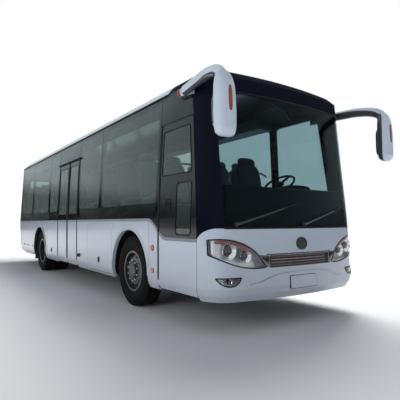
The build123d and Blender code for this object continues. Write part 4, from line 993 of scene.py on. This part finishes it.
# Reflective sheet on pressed aluminium: pale, with a fine bead sparkle.
plate_sheet = finish("blank_plate_sheeting", "#c7d0dc", "#bac4d2", 60, (0.35, 0.5), 1.5, 0.05, {})
piece("number_plate", pad(spot, plate_form, count=56), plate_sheet, "coach")
crease_line = [
    # across, height
    (-0.80, 0.540), (-0.66, 0.560), (-0.52, 0.606), (-0.38, 0.634), (-0.20, 0.643), (0.0, 0.645),
    (0.20, 0.643), (0.38, 0.634), (0.52, 0.606), (0.66, 0.560), (0.80, 0.540),
]
crease_width = 0.014
crease_proud = 0.012
crease = front_ribbon("front_bumper", [(y, z, z + crease_width) for y, z in crease_line], crease_proud)
piece("bumper_crease", crease, white_enamel, "coach")

# Wipers: two pressed steel arms on spindles below the screen, each pinned to a rubber blade on a sprung
# rail. The arms are enamelled and stand off the glass.
wipers = [
    # foot across, foot height, tip across, tip height
    (-0.94, 1.215, -0.02, 1.470), (0.06, 1.215, 0.94, 1.455),
]
wiper_steps = 14
arm_share = 0.75
arm_gap = 0.030
arm_thick, arm_thinning = 0.013, 0.006
blade_gap = 0.010
blade_from = 4
blade_radius = 0.008
steep_bar = 0.9
spindle_steps = [(-0.002, 0.024), (0.020, 0.024), (0.036, 0.018), (0.042, 0.008)]
clip_steps = [(0.0, 0.010), (arm_gap, 0.010), (arm_gap + 0.008, 0.006)]


def tube(points, radii, sides=8):
    """A round bar along points, with a radius at each."""
    rings = []
    for number, point in enumerate(points):
        along = (points[min(number + 1, len(points) - 1)] - points[max(number - 1, 0)]).normalized()
        aside = Vector((0, 0, 1)) if abs(along.z) < steep_bar else Vector((1, 0, 0))
        across = along.cross(aside).normalized()
        rings.append(hoop(point, across, along.cross(across), radii[number], radii[number], sides))
    return skin(rings)


# Satin enamel on the arms: dark grey with a soft glint.
wiper_enamel = finish("satin_wiper_enamel", "#34363a", "#26282b", 60, (0.30, 0.45), 4, 0.05, {})
bars, blades = [], []
for foot_y, foot_z, tip_y, tip_z in wipers:
    arm, blade = [], []
    for step in range(wiper_steps + 1):
        share = step / wiper_steps
        y, z = foot_y + (tip_y - foot_y) * share, foot_z + (tip_z - foot_z) * share
        face, normal = on_front("windscreen", y, z)
        if share < arm_share:
            arm.append(face + normal * arm_gap)
        if step >= blade_from:
            blade.append(face + normal * blade_gap)
    bars.append(tube(arm, [arm_thick - arm_thinning * n / len(arm) for n in range(len(arm))]))
    blades.append(tube(blade, [blade_radius] * len(blade)))
    bars.append(turned(spindle_steps, *on_front("windscreen", foot_y, foot_z), segments=18))
    middle = (blade[0] + blade[-1]) / 2
    bars.append(turned(clip_steps, *on_front("windscreen", middle.y, middle.z), segments=12))
piece("wiper_arms", joined(bars), wiper_enamel, "coach")
piece("wiper_blades", joined(blades), strip_rubber, "coach")

# Mirrors: hollow glass-fibre horns in white enamel. An arm reaches forward from a base on the header and
# carries a hanging head with a smoked amber repeater and mirror glass on its rear face.
arm_route = [
    # forward along the arm, height
    (-0.04, 2.797), (0.30, 2.800), (0.56, 2.800), (0.83, 2.745), (0.915, 2.620), (0.925, 2.500),
]
arm_start = (4.410, 1.228)
arm_splay = radians(10.0)
arm_wide, arm_tall = 0.053, 0.063
head_x, head_y = 5.400, 1.378
head_depth, head_width = 0.150, 0.240
head_power = 3.0
head_levels = [
    # height, share of the depth, share of the width, how far the front stands back
    (2.060, 0.30, 0.36, 0.046), (2.070, 0.55, 0.62, 0.028), (2.095, 0.80, 0.86, 0.012),
    (2.160, 0.97, 0.98, 0.001), (2.310, 1.0, 1.0, 0.002), (2.460, 0.98, 0.96, 0.008),
    (2.560, 0.95, 0.90, 0.016), (2.630, 0.86, 0.78, 0.030), (2.680, 0.72, 0.60, 0.050),
    (2.710, 0.50, 0.40, 0.072),
]
base_line = [
    # place along, how far the base stands out
    (4.222, 0.004), (4.226, 0.050), (4.245, 0.068), (4.455, 0.068), (4.480, 0.050), (4.488, 0.004),
]
base_edge = [
    # height, share of the standing out
    (2.737, 0.0), (2.741, 0.7), (2.760, 1.0), (2.835, 1.0), (2.854, 0.7), (2.858, 0.0),
]
base_least = 0.001
wall_lean = 0.090
lean_from_z, lean_height = 1.293, 1.593
repeater_offset, repeater_z = 0.016, 2.430
repeater_form = (0.023, 0.126, 2.6, flat_steps)
repeater_sunk = 0.004
base_lamp_x, base_lamp_z = 4.243, 2.797
base_lamp_form = (0.020, 0.042, 3.0, flat_steps)
mirror_z = 2.32
mirror_cast_x = 4.9
mirror_form = (0.096, 0.180, 4.0, [(-0.004, 1.0), (0.003, 1.0), (0.005, 0.96), (0.003, 0.93), (0.003, 0.3)])
corner_cut = 0.25


def rounded_route(points, rounds):
    """Cut the corners of a route, again and again, into a smooth bend."""
    for _ in range(rounds):
        cut = [points[0]]
        for near, far in zip(points, points[1:]):
            cut += [near.lerp(far, corner_cut), near.lerp(far, 1 - corner_cut)]
        points = cut + [points[-1]]
    return points


def mirror_arm(side):
    """The curved arm, an upright oval along its route."""
    way = Vector((cos(arm_splay), side * sin(arm_splay), 0))
    foot = Vector((arm_start[0], side * arm_start[1], 0))
    route = rounded_route([foot + way * forward + Vector((0, 0, z)) for forward, z in arm_route], rounds=3)
    rings = []
    for number, point in enumerate(route):
        along = (route[min(number + 1, len(route) - 1)] - route[max(number - 1, 0)]).normalized()
        across = along.cross(Vector((-way.y, way.x, 0))).normalized()
        rings.append(hoop(point, across, along.cross(across), arm_tall, arm_wide, count=24))
    return skin(rings)


def mirror_head(side, count=32):
    """The hanging head: level superellipses up its height."""
    rings = []
    for z, depth, width, back in head_levels:
        half_x, half_y = head_depth * depth / 2, head_width * width / 2
        middle = Vector((head_x - back - half_x, side * head_y, z))
        lobes = [lobe(2 * pi * number / count, head_power) for number in range(count)]
        rings.append([middle + Vector((half_x * x, half_y * y, 0)) for x, y in lobes])
    return skin(rings)


def mirror_base(side):
    """The base that closes the arm against the leaning wall."""
    rings = []
    for x, out in base_line:
        ring = []
        for z, share in base_edge + [(base_edge[-1][0], None), (base_edge[0][0], None)]:
            stand = 0.0 if share is None else max(out * share, base_least)
            ring.append(Vector((x, side * (side_y - wall_lean * (z - lean_from_z) / lean_height + stand), z)))
        rings.append(ring)
    return skin(rings)


shells, repeaters, mirror_faces = [], [], []
for side in (-1, 1):
    shells += [mirror_arm(side), mirror_head(side), mirror_base(side)]
    spot = on_front("mirrors", side * head_y + repeater_offset, repeater_z)
    repeaters.append(pad(spot, repeater_form, sunk=repeater_sunk))
    repeaters.append(pad(on_side("mirrors", base_lamp_x, base_lamp_z, side), base_lamp_form))
    spot = cast("mirrors", (mirror_cast_x, side * head_y, mirror_z), (1, 0, 0))
    mirror_faces.append(pad(spot, mirror_form, count=36))
mirror_shells = piece("mirror_shells", joined(shells), white_enamel, "coach", smooth=50)
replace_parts(mirror_shells, "mirrors")
dress(white_enamel, "mirrors")
piece("mirror_repeaters", joined(repeaters), turn_acrylic, "coach")
piece("mirror_faces", joined(mirror_faces), nut_chrome, "coach")

# Rear: stacked round lamps in red covers, a hatch with black louvres over the engine, and red reflectors in
# the bumper. The lamps are moulded acrylic, and the louvres are pressed and riveted on.
behind = -8.0


def on_rear(name, y, z):
    """Place and normal on a rear piece, met from behind."""
    return cast(name, (behind, y, z), (1, 0, 0))


tail_y = 1.030
tail_units = [
    # height, colour
    (1.385, "red"), (1.235, "amber"), (1.085, "red"), (0.925, "clear"),
]
tail_steps = [(-0.002, 1.0), (0.006, 1.0), (0.010, 0.93), (0.007, 0.84), (0.012, 0.55), (0.014, 0.1)]
tail_form = (0.060, 0.060, 2.0, tail_steps)
reflector_y, reflector_z = 0.90, 0.650
reflector_form = (0.070, 0.022, 5.0, flat_steps)
# Moulded red acrylic: deep red with a glassy face.
lens_red = finish("red_lamp_acrylic", "#6d0b0d", "#7d1015", 20, (0.10, 0.18), 6, 0.4, {"Coat Weight": 0.5})
dress(lens_red, "tail_lamps")
# Frosted acrylic: milky white with a prism grain.
clear_acrylic = finish("frosted_lamp_acrylic", "#cfd2d4", "#bfc3c6", 12, (0.10, 0.20), 5, 0.4,
                       {"Coat Weight": 0.4})
lamp_units = {"red": [], "amber": [], "clear": []}
for side in (-1, 1):
    for z, kind in tail_units:
        lamp_units[kind].append(pad(on_rear("tail_lamps", side * tail_y, z), tail_form, count=32))
    spot = on_rear("rear_bumper", side * reflector_y, reflector_z)
    lamp_units["red"].append(pad(spot, reflector_form))
for kind, made in (("red", lens_red), ("amber", amber_acrylic), ("clear", clear_acrylic)):
    piece(f"tail_units_{kind}", joined(lamp_units[kind]), made, "coach")

louvre_columns = (-0.42, 0.42)
louvre_rows = 9
louvre_low_z = 0.90
louvre_pitch = 0.050
louvre_steps = [(-0.001, 1.0), (0.006, 0.99), (0.012, 0.96), (0.012, 0.75), (0.004, 0.55), (0.004, 0.1)]
louvre_form = (0.30, 0.017, 6.0, louvre_steps)
catch_z = 0.86
catch_form = (0.075, 0.032, 3.0, lock_steps)
louvres = []
for y in louvre_columns:
    for row in range(louvre_rows):
        spot = on_rear("engine_hatch", y, louvre_low_z + row * louvre_pitch)
        louvres.append(pad(spot, louvre_form, count=36))
louvres.append(pad(on_rear("engine_hatch", 0.0, catch_z), catch_form))
piece("hatch_louvres", joined(louvres), lock_enamel, "engine_hatch")

# Roof: the cooler's moulded black fan grilles, and two glass-fibre lifting hatches over the aisle that
# are painted with the roof and sit on raised frames.
above = 6.0
lengthwise = (1, 0, 0)
fan_columns = (-0.21, 0.21)
fan_rows = 4
fan_first = 0.55
fan_pitch = 0.40
fan_sunk = 0.006
fan_steps = [(-0.010, 1.0), (0.004, 1.0), (0.007, 0.96), (0.007, 0.86), (-0.001, 0.80), (0.002, 0.62),
             (-0.001, 0.55), (0.002, 0.38), (-0.001, 0.30), (0.003, 0.15)]
fan_form = (0.165, 0.165, 2.2, fan_steps)
hatch_places = (2.30, -3.55)
hatch_steps = [(-0.030, 1.0), (0.022, 1.0), (0.034, 0.96), (0.038, 0.88), (0.038, 0.60), (0.042, 0.55),
               (0.043, 0.1)]
hatch_form = (0.36, 0.36, 7.0, hatch_steps)


def on_top(name, x, y):
    """Place and normal on a piece, met from above."""
    return cast(name, (x, y, above), (0, 0, -1))


fans = []
for y in fan_columns:
    for row in range(fan_rows):
        spot = on_top("roof_cooler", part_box("roof_cooler")[0].x + fan_first + row * fan_pitch, y)
        fans.append(pad(spot, fan_form, count=36, up=lengthwise, sunk=fan_sunk))
piece("cooler_fans", joined(fans), lock_enamel, "coach")
hatches = [pad(on_top("roof", x, 0.0), hatch_form, count=40, up=lengthwise) for x in hatch_places]
piece("roof_hatches", joined(hatches), white_enamel, "coach")

# Saloon: speckled vinyl on plywood, a moulded dashboard with an instrument hood, racks, and bent steel grab
# rails at the steps. They show through the glass.
# Speckled vinyl: grey chips in a dark ground.
floor_covering = finish("speckled_floor_vinyl", "#3d3f43", "#55575b", 5, (0.55, 0.75), 3, 0.1, {})
dress(floor_covering, "floor")
# Grained ABS: charcoal, low gloss.
dash_plastic = finish("grained_dashboard_abs", "#0b0c0d", "#131416", 40, (0.60, 0.75), 2.5, 0.15,
                      {"Specular IOR Level": 0.15})
dress(dash_plastic, "dashboard", "steering_wheel")
# Vacuum-formed shelf liner: mid grey.
rack_plastic = finish("grey_rack_moulding", "#3a3d43", "#464950", 60, (0.5, 0.65), 3, 0.1, {})
dress(rack_plastic, "luggage_racks")
# Satin powder coat on the door gear: black with a soft sheen.
arm_enamel = finish("satin_black_arm_enamel", "#17181a", "#242528", 60, (0.35, 0.5), 4, 0.1, {})
dress(arm_enamel, "front_door_arms", "mid_door_front_arms", "mid_door_rear_arms")
hood_x, hood_y = 4.42, 0.62
hood_form = (0.27, 0.11, 3.0, [(-0.010, 1.0), (0.040, 0.98), (0.075, 0.90), (0.092, 0.70), (0.098, 0.30)])
hood = pad(on_top("dashboard", hood_x, hood_y), hood_form, up=lengthwise)
piece("instrument_hood", hood, dash_plastic, "coach")
rails = [
    # route of each grab rail
    [(3.66, -0.44, 1.195), (3.66, -0.44, 1.95), (3.66, -0.5, 2.05), (3.66, -0.95, 2.05), (3.66, -1.1, 2.0)],
    [(3.66, -0.44, 1.60), (3.66, -1.10, 1.60)],
    [(3.32, 0.28, 1.195), (3.32, 0.28, 2.00), (3.32, 0.34, 2.08), (3.32, 0.95, 2.08), (3.32, 1.10, 2.02)],
    [(0.52, -0.44, 1.195), (0.52, -0.44, 2.00), (0.52, -0.50, 2.08), (0.52, -1.05, 2.08)],
    [(-1.02, -0.44, 1.195), (-1.02, -0.44, 2.00), (-1.02, -0.50, 2.08), (-1.02, -1.05, 2.08)],
]
rail_radius = 0.016
shapes = []
for route in rails:
    points = rounded_route([Vector(point) for point in route], rounds=2)
    shapes.append(tube(points, [rail_radius] * len(points), sides=10))
piece("grab_rails", joined(shapes), wheel_enamel, "coach")

# Seats: moulded foam in tight woven cloth with a piped seam, on steel pedestals; doubles in rows, a bench
# across the tail, and the driver's seat in charcoal.
seat_floor_z = 1.190
cushion_tilt = radians(4.0)
back_tilt = radians(14.2)
cushions_of_a_place = [
    # ahead, height, off each side, half length, half thickness, power, is the base, is piped
    (0.265, 0.370, 0.006, 0.205, 0.068, 5.0, True, True),
    (-0.020, 0.690, 0.006, 0.330, 0.060, 4.0, False, True),
    (-0.098, 1.030, 0.075, 0.075, 0.048, 3.4, False, False),
]
piping_inset = 0.002
piping_radius = 0.005
crown_turn = 0.94
crown_fullness = 0.8
leg_share = 0.36
leg_steps = [
    # rear end, front end, height
    (0.05, 0.34, 0.0), (0.05, 0.34, 0.02), (0.13, 0.27, 0.05), (0.13, 0.27, 0.25), (0.07, 0.40, 0.30),
]


def outline(middle, right, up, half_wide, half_long, power, count=24):
    """A square-shouldered loop round a cushion."""
    lobes = [lobe(2 * pi * number / count, power) for number in range(count)]
    return [middle + right * wide * half_wide + up * tall * half_long for wide, tall in lobes]


def crowned(middle, right, up, out, half, power, rows=9):
    """A stuffed block: square-shouldered in outline, domed on both faces."""
    rings = []
    for row in range(rows):
        angle = pi * (row / (rows - 1) - 0.5) * crown_turn
        share = abs(cos(angle)) ** (2 / power)
        height = abs(sin(angle)) ** crown_fullness * (1 if angle >= 0 else -1)
        level = middle + out * height * half[2]
        rings.append(outline(level, right, up, share * half[0], share * half[1], power))
    return skin(rings)


def seat(x, y, width, pads, seams, legs):
    """One place: base, back and headrest cushions on a share of a pedestal."""
    right = Vector((0, 1, 0))
    for ahead_x, z, inset, half_long, half_thick, power, is_base, is_piped in cushions_of_a_place:
        middle = Vector((x + ahead_x, y, seat_floor_z + z))
        tilt = cushion_tilt if is_base else back_tilt
        level, steep = Vector((cos(tilt), 0, sin(tilt))), Vector((-sin(tilt), 0, cos(tilt)))
        up, out = (level, steep) if is_base else (steep, level)
        half_wide = width / 2 - inset
        pads.append(crowned(middle, right, up, out, (half_wide, half_long, half_thick), power))
        if is_piped:
            loop = outline(middle, right, up, half_wide - piping_inset, half_long - piping_inset, power)
            seams.append(seal(loop, piping_radius, sides=5))
    sides = (y - width * leg_share, y + width * leg_share)
    rings = []
    for near, far, z in leg_steps:
        corners = ((near, sides[0]), (far, sides[0]), (far, sides[1]), (near, sides[1]))
        rings.append([Vector((x + along, across, seat_floor_z + z)) for along, across in corners])
    legs.append(skin(rings))


first_row_x = 2.910
seat_pitch = 0.760
row_count = 10
seat_middle = 0.685
place_width = 0.440
seat_behind, seat_ahead = 0.160, 0.470
bench_x = -4.650
bench_places = 5
bench_width = 2.250 / bench_places
driver_x, driver_y, driver_width = 3.450, 0.620, 0.500
pads, seams, legs = [], [], []
for row in range(row_count):
    x = first_row_x - seat_pitch * row
    for side in (-1, 1):
        if side > 0 or x - seat_behind > mid_front_x or x + seat_ahead < mid_rear_x:
            for offset in (-place_width / 2, place_width / 2):
                seat(x, side * seat_middle + offset, place_width, pads, seams, legs)
for place in range(bench_places):
    seat(bench_x, bench_width * (place - (bench_places - 1) / 2), bench_width, pads, seams, legs)
# Woven moquette: teal-grey with a short pile that scatters light.
seat_cloth = finish("woven_teal_moquette", "#2b4246", "#37525a", 18, (0.85, 0.95), 2, 0.4,
                    {"Sheen Weight": 0.3})
cushions = piece("seat_cushions", joined(pads), seat_cloth, "coach", smooth=60)
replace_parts(cushions, "seats")
dress(seat_cloth, "seats")
driver_pads = []
seat(driver_x, driver_y, driver_width, driver_pads, seams, legs)
# The driver's moquette: charcoal, with the same short pile.
driver_cloth = finish("woven_charcoal_moquette", "#17191c", "#222529", 18, (0.85, 0.95), 2, 0.4,
                      {"Sheen Weight": 0.2})
driver_cushions = piece("driver_cushions", joined(driver_pads), driver_cloth, "coach",
                        smooth=60)
piece("seat_piping", joined(seams), strip_rubber, "coach", smooth=60)
piece("seat_pedestals", joined(legs), arm_enamel, "coach")

# Studio: a pale seamless floor that brightens into the white backdrop, under two broad softboxes. Mirrored
# light comes from a bright sky over a dark horizon, and a low camera stands off the front right corner.
glow_start, glow_end = 6.0, 16.0
floor_half = 60.0
# Matt vinyl: nearly white and even, so the coach's shadow shows.
floor_finish = finish("pale_studio_vinyl", "#f7f7f8", "#f3f3f4", 4000, (0.80, 0.90), 40, 0.05,
                      {"Specular IOR Level": 0.05})
tree = floor_finish.node_tree
shader = tree.nodes["Principled BSDF"]
coords = add(tree, "ShaderNodeTexCoord", {})
away = add(tree, "ShaderNodeVectorMath", {0: coords.outputs["Object"]}, operation="LENGTH")
glow = add(tree, "ShaderNodeMapRange", {"Value": away.outputs["Value"], "From Min": glow_start,
                                        "From Max": glow_end, "To Min": 0.0, "To Max": 1.0},
           interpolation_type="SMOOTHSTEP")
shader.inputs["Emission Color"].default_value = linear("#ffffff")
tree.links.new(glow.outputs["Result"], shader.inputs["Emission Strength"])
floor_mesh = bpy.data.meshes.new("studio_floor")
floor_corners = [(x * floor_half, y * floor_half, 0) for x, y in ((-1, -1), (1, -1), (1, 1), (-1, 1))]
floor_mesh.from_pydata(floor_corners, [], [(0, 1, 2, 3)])
floor_mesh.materials.append(floor_finish)
studio_floor = bpy.data.objects.new("studio_floor", floor_mesh)
bpy.context.scene.collection.objects.link(studio_floor)

horizon_rise, sky_rise = 0.08, 0.14
horizon_light, sky_light = 0.01, 0.80
open_light = 0.28
world = bpy.data.worlds.new("studio")
world.use_nodes = True
bpy.context.scene.world = world
sky = world.node_tree
sky.nodes.clear()
ray = add(sky, "ShaderNodeLightPath", {})
seen = add(sky, "ShaderNodeMath", {0: ray.outputs["Is Camera Ray"], 1: ray.outputs["Is Transmission Ray"]},
           operation="ADD", use_clamp=True)
heading = add(sky, "ShaderNodeTexCoord", {}).outputs["Generated"]
rise = add(sky, "ShaderNodeSeparateXYZ", {0: heading}).outputs["Z"]
haze = add(sky, "ShaderNodeMapRange", {"Value": rise, "From Min": horizon_rise, "From Max": sky_rise,
                                       "To Min": horizon_light, "To Max": sky_light},
           interpolation_type="SMOOTHSTEP")
mirrored = add(sky, "ShaderNodeBackground", {"Color": linear("#dcebf2"), "Strength": haze.outputs["Result"]})
open_sky = add(sky, "ShaderNodeBackground", {"Color": linear("#e9f0fa"), "Strength": open_light})
fill = add(sky, "ShaderNodeMixShader",
           {0: ray.outputs["Is Glossy Ray"], 1: open_sky.outputs[0], 2: mirrored.outputs[0]})
backdrop = add(sky, "ShaderNodeBackground", {"Color": linear("#ffffff"), "Strength": 1.0})
both = add(sky, "ShaderNodeMixShader", {0: seen.outputs[0], 1: fill.outputs[0], 2: backdrop.outputs[0]})
add(sky, "ShaderNodeOutputWorld", {0: both.outputs[0]})

softboxes = [
    # name, place, aimed at, width, watts
    ("overhead_softbox", (-2.0, 5.0, 12.0), (0.0, 0.0, 0.0), 8.0, 2300.0),
    ("side_softbox", (7.0, -12.5, 3.4), (2.5, 0.0, 1.4), 8.0, 480.0),
]
for name, place, target, width, watts in softboxes:
    light = bpy.data.lights.new(name, "AREA")
    light.size = width
    light.energy = watts
    lamp = bpy.data.objects.new(name, light)
    lamp.location = place
    lamp.rotation_euler = (Vector(target) - Vector(place)).to_track_quat("-Z", "Y").to_euler()
    lamp.visible_glossy = False
    bpy.context.scene.collection.objects.link(lamp)

camera_place = (8.377, -3.782, 1.238)
camera_yaw = 55.336
camera_pitch = 0.459
camera_roll = -0.107
camera_lens = 36.29
camera_sensor = 36.0
camera_shift = 0.048
camera_reach = 300.0
lens_data = bpy.data.cameras.new("photo_lens")
lens_data.lens = camera_lens
lens_data.sensor_width = camera_sensor
lens_data.shift_y = camera_shift
lens_data.clip_end = camera_reach
camera = bpy.data.objects.new("photo_camera", lens_data)
yaw, pitch = radians(camera_yaw), radians(camera_pitch)
look = Vector((-sin(yaw) * cos(pitch), cos(yaw) * cos(pitch), sin(pitch)))
turn = look.to_track_quat("-Z", "Y").to_matrix() @ Matrix.Rotation(radians(camera_roll), 3, "Z")
camera.matrix_world = Matrix.Translation(camera_place) @ turn.to_4x4()
bpy.context.scene.collection.objects.link(camera)
bpy.context.scene.camera = camera
bpy.context.scene.view_settings.view_transform = "Standard"
